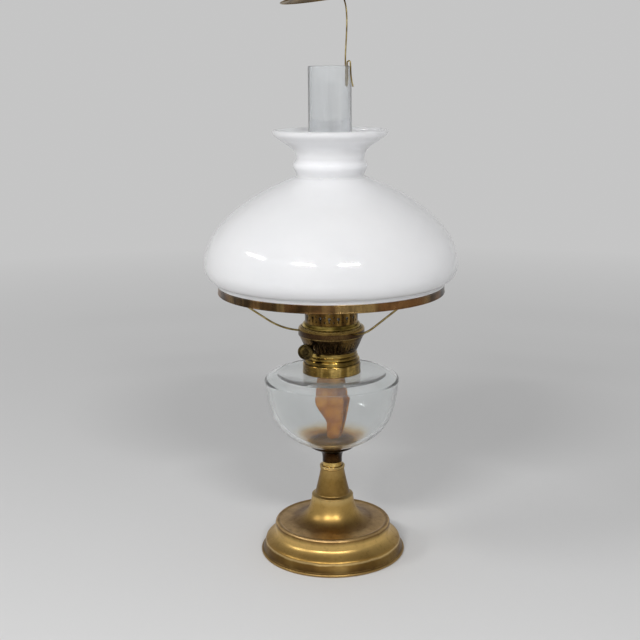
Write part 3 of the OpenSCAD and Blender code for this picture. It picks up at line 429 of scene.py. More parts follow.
def clothFinish():
    # knitted cotton: fine ribs along the wick, rows across it, darker where it is soaked
    mat, tree, shader = startFinish("wickCotton", Roughness=0.9, Specular_IOR_Level=0.1)
    coords = tree.nodes.new("ShaderNodeTexCoord")

    def bands(axis, scale, distortion):
        wave = tree.nodes.new("ShaderNodeTexWave")
        wave.bands_direction = axis
        wave.inputs["Scale"].default_value = scale
        wave.inputs["Distortion"].default_value = distortion
        wave.inputs["Detail Scale"].default_value = 2
        tree.links.new(coords.outputs["UV"], wave.inputs["Vector"])
        return wave.outputs["Fac"]

    ribs, rows = bands("X", 14, 0.6), bands("Y", 26, 0.9)
    patches = noise(tree, "Object", 90, 5)
    tone = ramp(tree, patches, [(0.3, paint(144, 82, 6)), (0.5, paint(178, 110, 10)), (0.72, paint(212, 146, 30))])
    tone = blendColours(tree, spread(tree, ribs, 0.0, 0.22, 0, 1), tone, paint(132, 76, 12))
    level = heightFactor(tree, 0.20, 0.2585, 0.02)
    tone = blendColours(tree, spread(tree, level, 0.0, 0.9, 0.93, 1.0), tone, paint(60, 44, 32))
    tree.links.new(tone, shader.inputs["Base Color"])
    relief(tree, shader, [(ribs, 0.3), (rows, 0.2), (patches, 0.2)], 0.0006)
    return mat


def dullFinish(name, dark, light, scale, rough, bump, metallic=0.0):
    # a grained surface between two tones, rougher where it is darker
    mat, tree, shader = startFinish(name, Metallic=metallic)
    grain = noise(tree, "Object", scale, 8, roughness=0.7)
    tone = ramp(tree, grain, [(0.3, dark), (0.7, light)])
    tree.links.new(tone, shader.inputs["Base Color"])
    tree.links.new(spread(tree, grain, rough[1], rough[0]), shader.inputs["Roughness"])
    relief(tree, shader, [(grain, bump)], 0.001)
    return mat


# the foot's brass: its height bands are partly painted highlights and painted shade
footBrass = bandedBrass(
    "footBrassPaintedLight", footTonesAndPaintedLight, 0.006, ((104, 76, 38), (152, 118, 62), (204, 170, 102)), 0.3, (0.34, 0.46)
)
# the tripod collar's brass: its height bands are painted highlights and painted shade
tripodBrass = bandedBrass(
    "tripodBrassPaintedBands", tripodTonesAndPaintedLight, 0.03, ((44, 32, 18), (92, 70, 40), (150, 122, 72)), 0.25, (0.22, 0.34), 60
)
# the ring's streaks and blush are partly painted reflections over its tarnish
ringBrass = brass(
    "ringBrassTarnishAndPaintedReflections", paint(42, 32, 20), paint(80, 62, 38), paint(146, 120, 76), (0.2, 0.4), 16, streaks=50,
    blush=paint(150, 104, 62),
)
# the collar's upright marks are partly painted reflection streaks
collarBrass = brass(
    "goldenCollar", paint(92, 70, 34), paint(132, 106, 52), paint(196, 166, 98), (0.12, 0.26), 40, stain=0.4,
    streaks=110,
)
knobBrass = brass("darkKnobBrass", paint(34, 28, 18), paint(60, 50, 28), paint(104, 88, 50), (0.2, 0.36), 60)
drumBrass = brass("darkDrumBrass", paint(36, 26, 14), paint(58, 42, 21), paint(106, 82, 42), (0.2, 0.36), 50, False)
# the crown's upright marks are partly painted reflection streaks
crownBrass = brass(
    "crownBrass", paint(62, 42, 20), paint(96, 72, 34), paint(150, 118, 60), (0.16, 0.34), 60, False, streaks=120
)
galleryBrass = brass("galleryBrass", paint(76, 60, 28), paint(128, 104, 50), paint(206, 178, 102), (0.12, 0.28), 60)
galleryBrassPlain = brass(
    "galleryBrassPlain", paint(96, 78, 34), paint(156, 132, 64), paint(222, 194, 110), (0.12, 0.28), 60, False
)
neckBrass = brass("darkNeckBrass", paint(18, 11, 5), paint(32, 19, 8), paint(68, 45, 22), (0.16, 0.34), 34)
stemBrass = brass("stemRingBrass", paint(120, 90, 46), paint(168, 134, 70), paint(220, 188, 116), (0.14, 0.28), 50)
wireBrass = brass(
    "paleBrassWire", paint(104, 88, 52), paint(152, 132, 82), paint(190, 172, 122), (0.25, 0.4), 90, False
)
bellBrass = brass("bellBrass", paint(84, 64, 34), paint(128, 102, 56), paint(172, 144, 86), (0.2, 0.38), 22)
opal = opalFinish()
fontGlass = fontGlassFinish()
chimneyGlass = glass("chimneyGlass", paint(242, 244, 246), (0.86, 0.985), (0.0, 0.07), 0.14, (1, 1, 0.05), 60, 1.4)[0]
wickCotton = clothFinish()
castIron = dullFinish("castIron", paint(34, 32, 31), paint(70, 66, 62), 120, (0.6, 0.85), 0.5)
paintedPlate = dullFinish("lacqueredBasePlate", paint(52, 38, 28), paint(92, 68, 48), 60, (0.35, 0.55), 0.15, 0.8)
brightSteel = dullFinish("brightSteel", paint(120, 118, 114), paint(176, 174, 170), 160, (0.25, 0.42), 0.1, 1.0)
plaster = dullFinish("lampPlaster", paint(196, 188, 170), paint(228, 222, 206), 140, (0.8, 0.95), 0.4)
oilyPlaster = dullFinish("oilStainedPlaster", paint(104, 66, 28), paint(160, 108, 52), 90, (0.5, 0.8), 0.4)
print("finishes made")

# Foot

stemRingR = float(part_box("stem_ring")[1][0]) * 1000
foot = {
    "rimR": 77.3, "beadR": 1.6, "creaseR": 72.3, "creaseH": 12.2, "shoulderR": 62.0, "domeH": 22.8,
    "shoulderH": 34.1, "ridgeR": 22.2, "ridgeH": 61.0, "lipR": 13.4, "lipH": 95.4, "wall": 1.2,
    "deckH": 93.8, "holeR": 4.5, "wallLow": 3.4,
}


def footOutline(s):
    # from the rolled rim inwards and up: skirt, dome, shoulder, flare, ridge, cone and lip, then the inner wall back
    rimR, beadR, w = s["rimR"], s["beadR"], s["wall"]
    skirt = curve(
        (rimR - beadR * 1.2, s["wallLow"]), (rimR - beadR * 1.5, s["creaseH"] / 2),
        (s["creaseR"] + 1.1, s["creaseH"] - 2.9), (s["creaseR"], s["creaseH"]), 20,
    )
    dome = curve(
        (s["creaseR"], s["creaseH"] + 0.4), (s["creaseR"] + 0.5, s["creaseH"] + 3.6),
        (s["shoulderR"] + 1.8, s["domeH"] - 4.8), (s["shoulderR"], s["domeH"]), 36,
    )
    shoulderR, shoulderH = s["shoulderR"], s["shoulderH"]
    shoulder = joined(
        (shoulderR - 0.2, shoulderH - 3.4),
        curve(
            (shoulderR - 0.4, shoulderH - 2.4), (shoulderR - 1, shoulderH - 0.9),
            (shoulderR - 2.4, shoulderH + 0.1), (shoulderR - 3.6, shoulderH), 8,
        ),
        (shoulderR - 5, shoulderH - 0.4),
    )
    ridgeR, ridgeH, lipR, lipH = s["ridgeR"], s["ridgeH"], s["lipR"], s["lipH"]
    flare = curve(
        (shoulderR - 6, shoulderH - 0.9), (shoulderR * 0.645, shoulderH + 0.5),
        (ridgeR + 2.8, shoulderH - 0.6), (ridgeR - 0.1, ridgeH), 60,
    )
    ridge = joined(
        arc((ridgeR - 0.7, ridgeH + 1.0), 0.7, -30, 80, 8), (ridgeR - 2.0, ridgeH + 2.3),
        (ridgeR - 3.4, ridgeH + 2.8),
    )
    cone = curve(
        (ridgeR - 3.9, ridgeH + 3.4), (ridgeR - 4.9, ridgeH + 9), (lipR + 0.4, lipH - 13.4),
        (lipR - 0.9, lipH - 3.8), 24,
    )
    lip = joined(
        arc((lipR - 0.8, lipH - 2.75), 0.6, -60, 60, 8), (lipR - 0.8, lipH - 1.8),
        arc((lipR - 0.8, lipH - 0.8), 0.8, -50, 90, 10), (stemRingR + 0.5, lipH),
    )
    inside = joined(
        inset(skirt, w), inset(dome, w), (shoulderR - w - 0.2, shoulderH - 3.6),
        (shoulderR - 3.6, shoulderH - w - 0.2), inset(flare, w), inset(cone, w),
    )
    rim = arc((rimR - beadR, beadR), beadR, -90, 75, 12)
    return joined(
        (rimR - beadR * 2.1, 0), rim, skirt, dome, shoulder, flare, ridge, cone, lip,
        (stemRingR + 0.5, s["deckH"]), (s["holeR"], s["deckH"]), (s["holeR"], s["deckH"] - w),
        inside[::-1], (rimR - beadR * 2.1, s["wallLow"]),
    )


mount(turned("spun_foot", footOutline(foot), 256), "stand", "foot_brass", footBrass, "foot_shell")

stem = {"deckH": 93.8, "topH": 99.7, "boreR": 4.5}
stemOutline = joined(
    (stem["boreR"], stem["deckH"]), (stemRingR, stem["deckH"]),
    curve(
        (stemRingR, stem["deckH"] + 2.0), (stemRingR - 0.1, stem["deckH"] + 2.8),
        (stemRingR - 0.4, stem["deckH"] + 2.9), (stemRingR - 0.5, stem["deckH"] + 3.6), 8,
    ),
    curve(
        (stemRingR - 0.5, stem["topH"] - 0.7), (stemRingR - 0.5, stem["topH"] - 0.2),
        (stemRingR - 0.6, stem["topH"]), (stemRingR - 0.8, stem["topH"]), 6,
    ),
    (stem["boreR"], stem["topH"]),
)
mount(turned("stem_ring_turned", stemOutline, 128), "stand", "bright_brass", stemBrass, "stem_ring")

cup = {
    "topH": 119.3, "r": 25.2, "wall": 1.0, "depth": 6.4, "neckR": 10.4, "rodR": 4.0, "ringTop": 99.7, "sink": 0.7,
}
cupFloor = cup["topH"] - cup["depth"]
cupOutline = joined(
    (cup["rodR"], cup["ringTop"]),
    curve(
        (cup["neckR"], cup["ringTop"]), (cup["neckR"] - 0.1, cup["ringTop"] + 5),
        (cup["neckR"], cup["topH"] - 9), (cup["neckR"] + 3.7, cup["topH"] - 6.9), 18,
    ),
    curve(
        (cup["neckR"] + 3.7, cup["topH"] - 6.9), (cup["neckR"] + 7.7, cup["topH"] - 4.6),
        (cup["r"] - 1.4, cup["topH"] - 3.8), (cup["r"], cup["topH"] - 0.9), 16,
    ),
    (cup["r"], cup["topH"] - cup["sink"] / 2),
    (cup["r"] - cup["wall"], cup["topH"] - cup["sink"]),
    (cup["r"] * 0.9, cupFloor + 3.2), (cup["r"] * 0.74, cupFloor + 2), (cup["neckR"] * 1.24, cupFloor + 0.5),
    (cup["neckR"] * 0.72, cupFloor), (0, cupFloor), (0, cupFloor - 3.4), (cup["rodR"], cupFloor - 3.4),
)
mount(turned("neck_and_cup", cupOutline, 160), "stand", "dark_brass", neckBrass, "font_cup")
print("foot, stem ring and cup made")

# Font

font = {
    "r": 70.7, "lowH": 118.6, "topH": 198.7, "wideH": 189.7, "floorH": 119.2, "topR": 58.0, "wall": 4.0,
    "pegR": 20.0, "pegH": 3.4, "neckR": 29.0, "mouthR": 27.0, "neckTop": 206.9, "swell": 0.04, "swellLow": 125,
}


def fontOutline(s):
    # up the outside from the peg to the mouth, then down the inside to the middle of the floor
    lowH, topH, wideH, r, topR, w = s["lowH"], s["topH"], s["wideH"], s["r"], s["topR"], s["wall"]
    side = curve((24.2, lowH), (r - 6.1, lowH + 15.9), (r - 4.1, wideH - 32.2), (r - 0.2, wideH - 0.5), 60)
    shoulder = curve((r - 0.1, wideH), (r + 0.7, wideH + 3), (topR + 8, topH - 2.4), (topR, topH - 0.3), 28)
    sideInside = inset(side, w)
    sideInside = sideInside[sideInside[:, 1] > lowH + w * 0.9]
    return joined(
        (0, lowH - s["pegH"]), (s["pegR"], lowH - s["pegH"]), (s["pegR"], lowH), side, shoulder,
        curve((topR - 1, topH - 0.1), (topR - 2, topH), (topR - 2.6, topH), (topR - 3.4, topH), 4),
        (s["neckR"], topH), (s["neckR"], s["neckTop"]), (s["mouthR"], s["neckTop"]), (s["mouthR"], topH - w + 1),
        (s["mouthR"] + 1.2, topH - w), (topR - 2, topH - w - 0.3), inset(shoulder, w)[::-1], sideInside[::-1],
        (s["pegR"] - 2.4, s["floorH"] + 1.6), (s["pegR"] - 6, s["floorH"]), (0, s["floorH"]),
    )


def blown(r, a, h):
    # the blown bowl isn't quite round: three low swells round it that wind upwards
    return r + font["swell"] * np.sin(3 * a + h / 9) * (h > font["swellLow"])


mount(turned("blown_font", fontOutline(font), 224, wave=blown), "stand", "font_glass", fontGlass, "glass_font")

collar = {"r": 30.3, "lowH": 198.7, "topH": 209.5, "wall": 0.9, "sleeveR": 25.6, "sleeveH": 201.5}
collarOutline = joined(
    (collar["r"] - collar["wall"], collar["lowH"]), (collar["r"] + 0.3, collar["lowH"]),
    arc((collar["r"] - 0.3, collar["lowH"] + 0.65), 0.65, -60, 60, 6),
    (collar["r"], collar["lowH"] + 1.4),
    curve(
        (collar["r"], collar["topH"] - 2.4), (collar["r"], collar["topH"] - 1.1),
        (collar["r"] - 0.4, collar["topH"] - 0.1), (collar["r"] - 1.1, collar["topH"]), 8,
    ),
    (collar["sleeveR"], collar["topH"]), (collar["sleeveR"], collar["sleeveH"]),
    (collar["sleeveR"] + collar["wall"], collar["sleeveH"]),
    (collar["sleeveR"] + collar["wall"], collar["topH"] - 1.5), (collar["r"] - collar["wall"], collar["topH"] - 1.5),
)
mount(turned("collar_turned", collarOutline, 192), "stand", "bright_brass", collarBrass, "font_collar")
print("font and collar made")

# Burner

burner = {
    "lowH": 209.55, "floorH": 210.35, "drumLow": 221.95, "ringR": 29.5, "stepR": 27.65, "footR": 26.4,
    "tubeR": 16.3, "spigotR": 25.55,
}


def burnerOutline(s):
    # three rings, one above the other: wide, middling and narrow
    r, step, foot, low, top = s["ringR"], s["stepR"], s["footR"], s["lowH"], s["drumLow"]
    return joined(
        (s["tubeR"], s["floorH"]), (s["spigotR"] - 1.3, s["floorH"]), (s["spigotR"] - 1.3, low - 6),
        (s["spigotR"], low - 6), (s["spigotR"], low),
        curve((r - 0.5, low), (r + 0.15, low + 1.1), (r + 0.15, low + 3.4), (r - 0.6, low + 4.4), 12),
        curve(
            (step - 0.2, low + 5.1), (step + 0.1, low + 5.7), (step + 0.1, low + 6.9), (step - 0.2, low + 7.6), 8,
        ),
        curve((foot, low + 8.4), (foot + 0.6, low + 9.2), (foot + 0.5, low + 10.8), (foot + 0.1, top - 0.8), 8),
        (foot, top), (foot - 0.9, top), (foot - 0.9, s["floorH"] + 1.2), (s["tubeR"], s["floorH"] + 1.2),
    )


burnerRings = turned("burner_base_turned", burnerOutline(burner), 192)
mount(burnerRings, "burner", "burner_brass", galleryBrass, "burner_base")
mount(smoothCopy("slotted_drum", "burner_drum"), "burner", "burner_brass", drumBrass, "burner_drum")
mount(smoothCopy("chimney_seat", "gallery_seat"), "burner", "burner_brass", galleryBrassPlain, "gallery_seat")
mount(smoothCopy("pierced_crown", "gallery_crown"), "burner", "burner_brass", crownBrass, "gallery_crown")

knob = {
    "r": 8.0, "thick": 4.6, "reach": 31.4, "shaftR": 1.5, "off": 18.7, "height": 226.45, "turn": -15,
    "ridges": 44, "ridge": 0.1,
}
onShaft = (
    shift(0, 0, knob["height"]) @ turn("Z", knob["turn"]) @ turn("X", 90) @ shift(-knob["off"], 0, knob["reach"])
)


def knobOutline(s):
    # radii are from the shaft, and heights go out along it
    r, t, b = s["r"], s["thick"], s["shaftR"]
    return joined(
        (b, 0), (b + 1.2, 0), (b + 1.6, 0.8), (r - 1, 1),
        arc((r - 0.8, 1.9), 0.8, -70, 0, 5), arc((r - 0.8, t - 0.8), 0.8, 0, 90, 6),
        curve((r - 1.2, t), (r - 1.9, t - 0.1), (r - 1.9, t - 1.3), (r - 2.6, t - 1.4), 6),
        (b + 1.8, t - 1.6), curve((b + 1.6, t - 1.4), (b + 1.4, t - 0.5), (b + 0.8, t - 0.4), (0.4, t - 0.35), 6),
        (0, t - 0.35), (0, t - 1.2), (b, t - 1.2),
    )


def knurl(r, a, h):
    # shallow ridges round the knob's edge
    return r - np.where(r > knob["r"] - 0.35, knob["ridge"] * (1 - np.cos(knob["ridges"] * a)), 0)


mount(
    turned("wick_knob_knurled", knobOutline(knob), knob["ridges"] * 8, onShaft, knurl, 40),
    "knob", "bright_brass", knobBrass, "wick_knob",
)
print("burner and knob made")

# Wick

wick = {  # flat is the size it was cut to, in metres
    "low": 124.8, "top": 258.45, "middleR": 13.85, "wrap": 320, "rollH": 205.35, "openH": 169.8, "thick": 1.9,
    "left": 16.4, "right": 18.2, "leftEnd": 4.4, "rightEnd": 8.0, "fold": 7.0, "flat": (0.0773, 0.1337),
}


def smoothStep(a, b, v):
    # 0 below a and 1 above b, with an S between them
    t = np.clip((v - a) / (b - a), 0, 1)
    return t * t * (3 - 2 * t)


def wickCloth(s):
    # u runs across the cloth and z along it. Above rollH the cloth is a split roll, below it opens into a tail.
    # The tail's cross-section is a smooth line through points given as shares of its half width and as depths:
    # round the left side, flat across the front, back under itself at the fold, and out to the right edge.
    # The fold leans at the top and is upright further down.
    z = np.linspace(s["low"], s["top"], 132)
    hang = 1 - smoothStep(s["openH"] - 2, s["rollH"], z)
    left = -s["leftEnd"] - (s["left"] - s["leftEnd"]) * smoothStep(s["low"] + 15, s["low"] + 42, z)
    right = s["rightEnd"] + (s["right"] - s["rightEnd"]) * np.clip((z - s["low"]) / 45, 0, 1) ** 0.75
    fold = 0.62 - 0.5 * smoothStep(165, 184, z)
    one = np.ones_like(z)
    across = np.stack([
        -0.66 * one, -0.97 * one, -0.99 * one, -0.7 * one, -0.28 * one, 0.5 * fold - 0.05, fold - 0.06,
        fold + 0.02, fold - 0.16, fold - 0.3, 0.15 * one, 0.58 * one, 0.9 * one, one,
    ], 1)
    depth = np.array([4.6, 3.2, -1.4, -5.4, -6.9, -6.6, -6.1, -4.3, -2.4, 0.6, 4.4, 4.8, 2.4, -1.8])
    depth = depth * s["fold"] / 7
    weights = smoothPath(np.eye(across.shape[1]), 11)
    u = np.linspace(-1, 1, len(weights))
    w = np.radians(s["wrap"] / 2 * u)[None]
    x = (left + right)[:, None] / 2 + (right - left)[:, None] / 2 * (across @ weights.T)
    y = (weights @ depth)[None] - 1 + 0.4 * np.sin(5 * u[None] + z[:, None] / 4)
    u, z = np.broadcast_to(u[None], x.shape), np.broadcast_to(z[:, None], x.shape)
    hang = hang[:, None]
    ends = 1.2 * np.sin(2.5 * np.pi * u) * (1 - smoothStep(0, 6, z - s["low"]))  # the lower edge isn't level
    px = (1 - hang) * s["middleR"] * np.sin(w) + hang * x
    py = -(1 - hang) * s["middleR"] * np.cos(w) + hang * y
    points = np.stack([px, py, z + np.abs(ends)], -1)
    rows, columns = points.shape[:2]
    faces, i, j = gridFaces(rows, columns, False, False)
    v = np.linspace(s["low"], s["top"], rows) / 1000 * 10
    uv = cornerUv(j / columns * 2, (j + 1) / columns * 2, v[i], v[i + 1])
    obj = makeObject("wick_cloth", points.reshape(-1, 3), faces, uv, 80)
    wall = obj.modifiers.new("thickness", "SOLIDIFY")
    wall.thickness = s["thick"] / 1000
    wall.offset = 0
    wall.use_even_offset = True
    return obj


cloth = mount(wickCloth(wick), "wick_body", "wick_cloth", wickCotton, "wick")
print("wick made")

# Chimney and smoke bell

chimney = {
    "footR": 26.1, "waistR": 19.2, "r": 21.75, "low": 246.5, "top": 511.5, "waistH": 303.0, "wall": 1.65,
}


def chimneyOutline(s):
    # a wide foot drawn in to the waist and out again to the tube, with a round edge at both ends
    w, wz = s["wall"], s["waistH"]
    inward = curve((s["footR"], wz - 17), (s["footR"], wz - 7), (s["waistR"], wz - 7), (s["waistR"], wz), 28)
    outward = curve((s["waistR"], wz), (s["waistR"], wz + 6), (s["r"], wz + 12), (s["r"], wz + 22), 28)
    middle = (s["footR"] - w / 2, s["low"] + w / 2)
    rim = (s["r"] - w / 2, s["top"] - w / 2)
    return joined(
        arc(middle, w / 2, -180, 0, 8), inward, outward[1:], arc(rim, w / 2, 0, 180, 8),
        inset(outward, w)[:0:-1], inset(inward, w)[::-1],
    )


mount(
    turned("drawn_chimney", chimneyOutline(chimney), 160), "chimney_body", "chimney_glass", chimneyGlass, "chimney",
)

bell = {
    "z": 589.8, "tilt": 8, "r": 50.5, "depth": 12.0, "wall": 0.8, "wire": 1.5, "turn": 57, "clip": 19.5,
    "hairpin": 2.2, "lift": 78.3,
}
onBell = shift(0, 0, bell["z"]) @ turn("Y", -bell["tilt"])


def bellOutline(s):
    # a shallow bowl, mouth down, of an even wall with a rolled rim; its heights go down from the middle
    r, d, w = s["r"], s["depth"], s["wall"]
    over = curve((r - 0.8, -d + 1.2), (r - 8, -d + 3.6), (r * 0.5, 0), (4.5, 0), 36)
    rim = arc((r - 0.7, -d + 0.7), 0.7, -150, 80, 8)
    return joined(
        (s["wire"] / 2 + 0.1, 0), (s["wire"] / 2 + 0.1, -w), (4.5, -w), (over - (0, w))[:0:-1], rim, over,
    )


mount(turned("smoke_bell_spun", bellOutline(bell), 160, onBell), "bell_body", "bell_brass", bellBrass, "smoke_bell")
mount(smoothCopy("smoke_bell_nut_copy", "smoke_bell_nut"), "bell_body", "bell_brass", collarBrass, "smoke_bell_nut")


def wirePath(s):
    # the clip's points are (out from the axis, sideways, height over the chimney's rim)
    inR = chimney["r"] - chimney["wall"] - 0.3 - s["wire"] / 2
    outR = chimney["r"] + 0.3 + s["wire"] / 2
    half, k, c = s["hairpin"], (inR + outR) / 2, s["clip"]
    bends = np.radians(range(0, 181, 30))
    over = [(k + (outR - k) * math.cos(w), half, 2.6 + (outR - k) * math.sin(w)) for w in bends]
    under = [(inR, half / 2 * math.cos(w), -c + 1 - half / 2 * math.sin(w)) for w in bends]
    rise = curve((inR + 0.1, 10), (inR + 1, 32), (inR + 4.6, 58), (inR - 5, s["lift"] - 11), 8)
    rise = [(q[0], -half / 2 * (1 - (q[1] - 10) / (s["lift"] - 10)), q[1]) for q in rise]
    points = [(outR + 1.7, half * 2, -c - 1), (outR + 0.6, half * 1.75, -c * 0.78), (outR, half * 1.35, -c * 0.4)]
    points += over + [(inR, half * 0.85, -c * 0.4)] + under
    points += [(inR, -half / 2, -c * 0.4), (inR, -half / 2, 0)] + rise
    way = math.radians(s["turn"])
    outWay = np.array([math.sin(way), -math.cos(way), 0])
    sideWay = np.array([math.cos(way), math.sin(way), 0])
    up = np.array([0, 0, 1.0])
    line = np.array([q[0] * outWay + q[1] * sideWay + (chimney["top"] + q[2]) * up for q in points])
    tip = np.array([0, 0, s["z"]])
    axis = np.array([-math.sin(math.radians(s["tilt"])), 0, math.cos(math.radians(s["tilt"]))])
    head = curve(line[-1], line[-1] - 6 * outWay + 4 * up, tip - 7 * axis, tip - 3 * axis, 7)
    return smoothPath(np.vstack([line, head[1:], tip - 2 * axis, tip + 3.4 * axis]), 6), outWay + sideWay + up


clipLine, clipLean = wirePath(bell)
clipWire = tube("spring_wire", clipLine, bell["wire"] / 2, 16, clipLean)
mount(clipWire, "bell_body", "brass_wire", wireBrass, "smoke_bell_wire")
print("chimney and smoke bell made")

# Tripod, ring and shade

tripod = {
    "low": 238.8, "r": 34.6, "high": 9.6, "wall": 0.9, "bore": 31.2, "arm": 2.1, "armTurn": 38, "slope": 35,
    "bend": 70.0, "hook": 14.0, "firstSlope": 6, "endR": 111.8, "endH": 296.1,
}


def tripodCollarOutline(s):
    # an upright wall that rolls over inwards at its top, open below between the wall and the bore
    low, top, r, w, bore = s["low"], s["low"] + s["high"], s["r"], s["wall"], s["bore"]
    outer = curve((r, top - 4), (r, top - 2), (r - 1, top - 0.8), (r - 2.2, top - 0.5), 12)
    inner = curve((r - w, top - 4), (r - w, top - 2.8), (r - 1.6, top - 1.8), (r - 2.5, top - 1.5), 8)
    return joined(
        (bore, low), (r - 0.2, low), (r, low + 0.4), outer, (bore, top), (bore, top - w), inner[::-1],
        (r - w, low + w), (bore, low + w),
    )


tripodRing = turned("tripod_collar_turned", tripodCollarOutline(tripod), 192)
mount(tripodRing, "tripod_body", "dark_brass", tripodBrass, "tripod_collar")


def armPath(s):
    # in the plane y = 0: a short straight start, a wide bend, a straight run and a bend up to the ring
    first, slope = math.radians(s["firstSlope"]), math.radians(s["slope"])
    start = np.array([s["r"] - 1.4, s["low"] + 5.2])
    lowC = start + s["bend"] * np.array([-math.sin(first), math.cos(first)])
    run = s["endR"] - s["hook"] * (1 - math.sin(slope)) - lowC[0] - s["bend"] * math.sin(slope)
    rise = run * math.tan(slope) + (s["hook"] - s["bend"]) * math.cos(slope)
    highC = np.array([s["endR"] - s["hook"], lowC[1] + rise])
    plane = joined(
        start - 1.2 * np.array([math.cos(first), math.sin(first)]),
        arc(lowC, s["bend"], s["firstSlope"] - 90, s["slope"] - 90, 24),
        arc(highC, s["hook"], s["slope"] - 90, 0, 24),
        (s["endR"], s["endH"]),
    )
    return np.stack([plane[:, 0], 0 * plane[:, 0], plane[:, 1]], 1)


armLine = armPath(tripod)
for index in range(3):
    spin = turn("Z", tripod["armTurn"] - 90 + 120 * index)[:3, :3]
    arm = tube(f"tripod_wire_{index + 1}", armLine @ spin.T, tripod["arm"] / 2, 20, spin @ np.array([0, 1.0, 0]))
    mount(arm, "tripod_body", "brass_wire", wireBrass, f"tripod_arm_{index + 1}")

ring = {"r": 117.0, "collarR": 113.4, "collarH": 4.5, "ledge": 293.0, "depth": 8.4, "wall": 0.9}


def ringOutline(s):
    # an upright band with a bead along its lower edge, a ledge and the collar that centres the shade
    r, c, w, ledge = s["r"], s["collarR"], s["wall"], s["ledge"]
    low, band = ledge - s["depth"], r - 0.5
    return joined(
        (band - w, low + 0.5), (band - w + 0.2, low + 0.1), (band - w + 0.5, low),
        arc((band - 0.35, low + 0.75), 0.75, -90, 60, 8), (band, low + 1.5), (band, low + 2.0),
        curve(
            (band, ledge - w - 1.2), (band, ledge - w - 0.5), (band + 0.1, ledge - w - 0.3), (r - 0.1, ledge - w), 6,
        ),
        (r, ledge - 0.4), (r - 0.2, ledge), (c, ledge), (c, ledge + s["collarH"] - 0.3),
        (c - 0.3, ledge + s["collarH"]), (c - w + 0.3, ledge + s["collarH"]), (c - w, ledge + s["collarH"] - 0.3),
        (c - w, ledge - w), (band - w, ledge - w),
    )


mount(turned("shade_ring_spun", ringOutline(ring), 288), "tripod_body", "ring_brass", ringBrass, "shade_ring")

shade = {
    "low": 293.05, "fitterR": 117.5, "fitterH": 4.2, "r": 130.2, "round": 18.7, "rise": 108.0, "neckR": 34.5,
    "beadR": 38.0, "topR": 58.7, "high": 156.4, "wall": 3.0, "edgeAngle": 62,
}


def shadeOutline(s):
    # up the outside: fitter's band, rounded edge, dome, neck with its bead, flare and lip, then the inner wall back
    low, w, n, t = s["low"], s["wall"], s["neckR"], s["topR"]
    nz, tz = low + s["rise"], low + s["high"]
    f, r = s["fitterR"], s["r"]
    edgeZ = low + s["fitterH"] + 0.2
    wideZ = edgeZ + s["round"] * math.sin(math.radians(s["edgeAngle"]))
    edge = curve(
        (f + (r - f) * 0.22, edgeZ), (f + (r - f) * 0.7, edgeZ + s["round"] * 0.174),
        (r, wideZ - s["round"] * 0.37), (r, wideZ), 24,
    )
    dome = curve((r, wideZ), (r, wideZ + (nz - wideZ) * 0.402), (n + 57.5, nz - 20), (n + 5.9, nz), 80)
    bead = joined(
        curve((n + 2.5, nz + 1.3), (n + 0.4, nz + 1.7), (n, nz + 2), (n, nz + 3.6), 8),
        curve((n + 0.1, nz + 4.2), (n + 0.6, nz + 7.4), (s["beadR"], nz + 9.4), (s["beadR"], nz + 12.5), 14),
        curve((s["beadR"], nz + 13), (s["beadR"], nz + 16), (n + 0.3, nz + 16.8), (n + 0.3, nz + 20), 14),
    )
    flare = curve((n + 0.4, nz + 21), (n + 0.6, nz + 30.4), (t - 13.6, tz - 15.2), (t - 7.4, tz - 10), 30)
    lip = curve((t - 6.8, tz - 9.6), (t - 2.6, tz - 6.6), (t, tz - 5.4), (t, tz - 0.6), 16)
    rim = arc((t - w * 0.45, tz - w * 0.45), w * 0.45, 20, 160, 8)
    inside = joined(
        (f - w, low + 0.5), (f - w, low + s["fitterH"] - 0.5), inset(edge, w), inset(dome[1:], w),
        (n - w, nz + 2), (n - w, nz + 20),
        inset(flare, w), inset(lip[:-2], w * 0.9),
    )
    return joined(
        (f - w + 0.4, low), (f - 0.5, low), (f, low + 0.5),
        curve((f, edgeZ - 1.6), (f, edgeZ - 0.5), (f + 0.8, edgeZ - 0.1), edge[0] - (0.3, 0.02), 8),
        edge, dome[1:], bead, flare, lip, rim, inside[::-1],
    )


mount(turned("opal_shade", shadeOutline(shade), 256), "shade_body", "opal_glass", opal, "shade")
print("tripod, ring and shade made")

# The rest of the CAD nodes keep their shape

keptNodes = {
    "foot_weight": castIron, "base_plate": paintedPlate, "base_washer": brightSteel, "tie_rod": brightSteel,
    "tie_nut": brightSteel, "cup_plaster": oilyPlaster, "collar_plaster": plaster, "outer_wick_tube": drumBrass,
    "inner_draught_tube": drumBrass, "wheel_bracket": drumBrass, "shaft_bush": drumBrass,
    "wick_shaft": brightSteel, "wick_wheels": brightSteel,
}
for node, material in keptNodes.items():
    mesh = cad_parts[node].data
    if not mesh.materials:
        mesh.materials.append(material)
    for place in range(len(mesh.materials)):
        mesh.materials[place] = material

# Floor, light and camera


def seenRays(tree, rays):
    # 1 for rays that show the background: to the camera, off metal or through glass
    value = rays.outputs["Is Camera Ray"]
    for kind in ("Is Glossy Ray", "Is Transmission Ray"):
        most = tree.nodes.new("ShaderNodeMath")
        most.operation = "MAXIMUM"
        tree.links.new(value, most.inputs[0])
        tree.links.new(rays.outputs[kind], most.inputs[1])
        value = most.outputs[0]
    return value


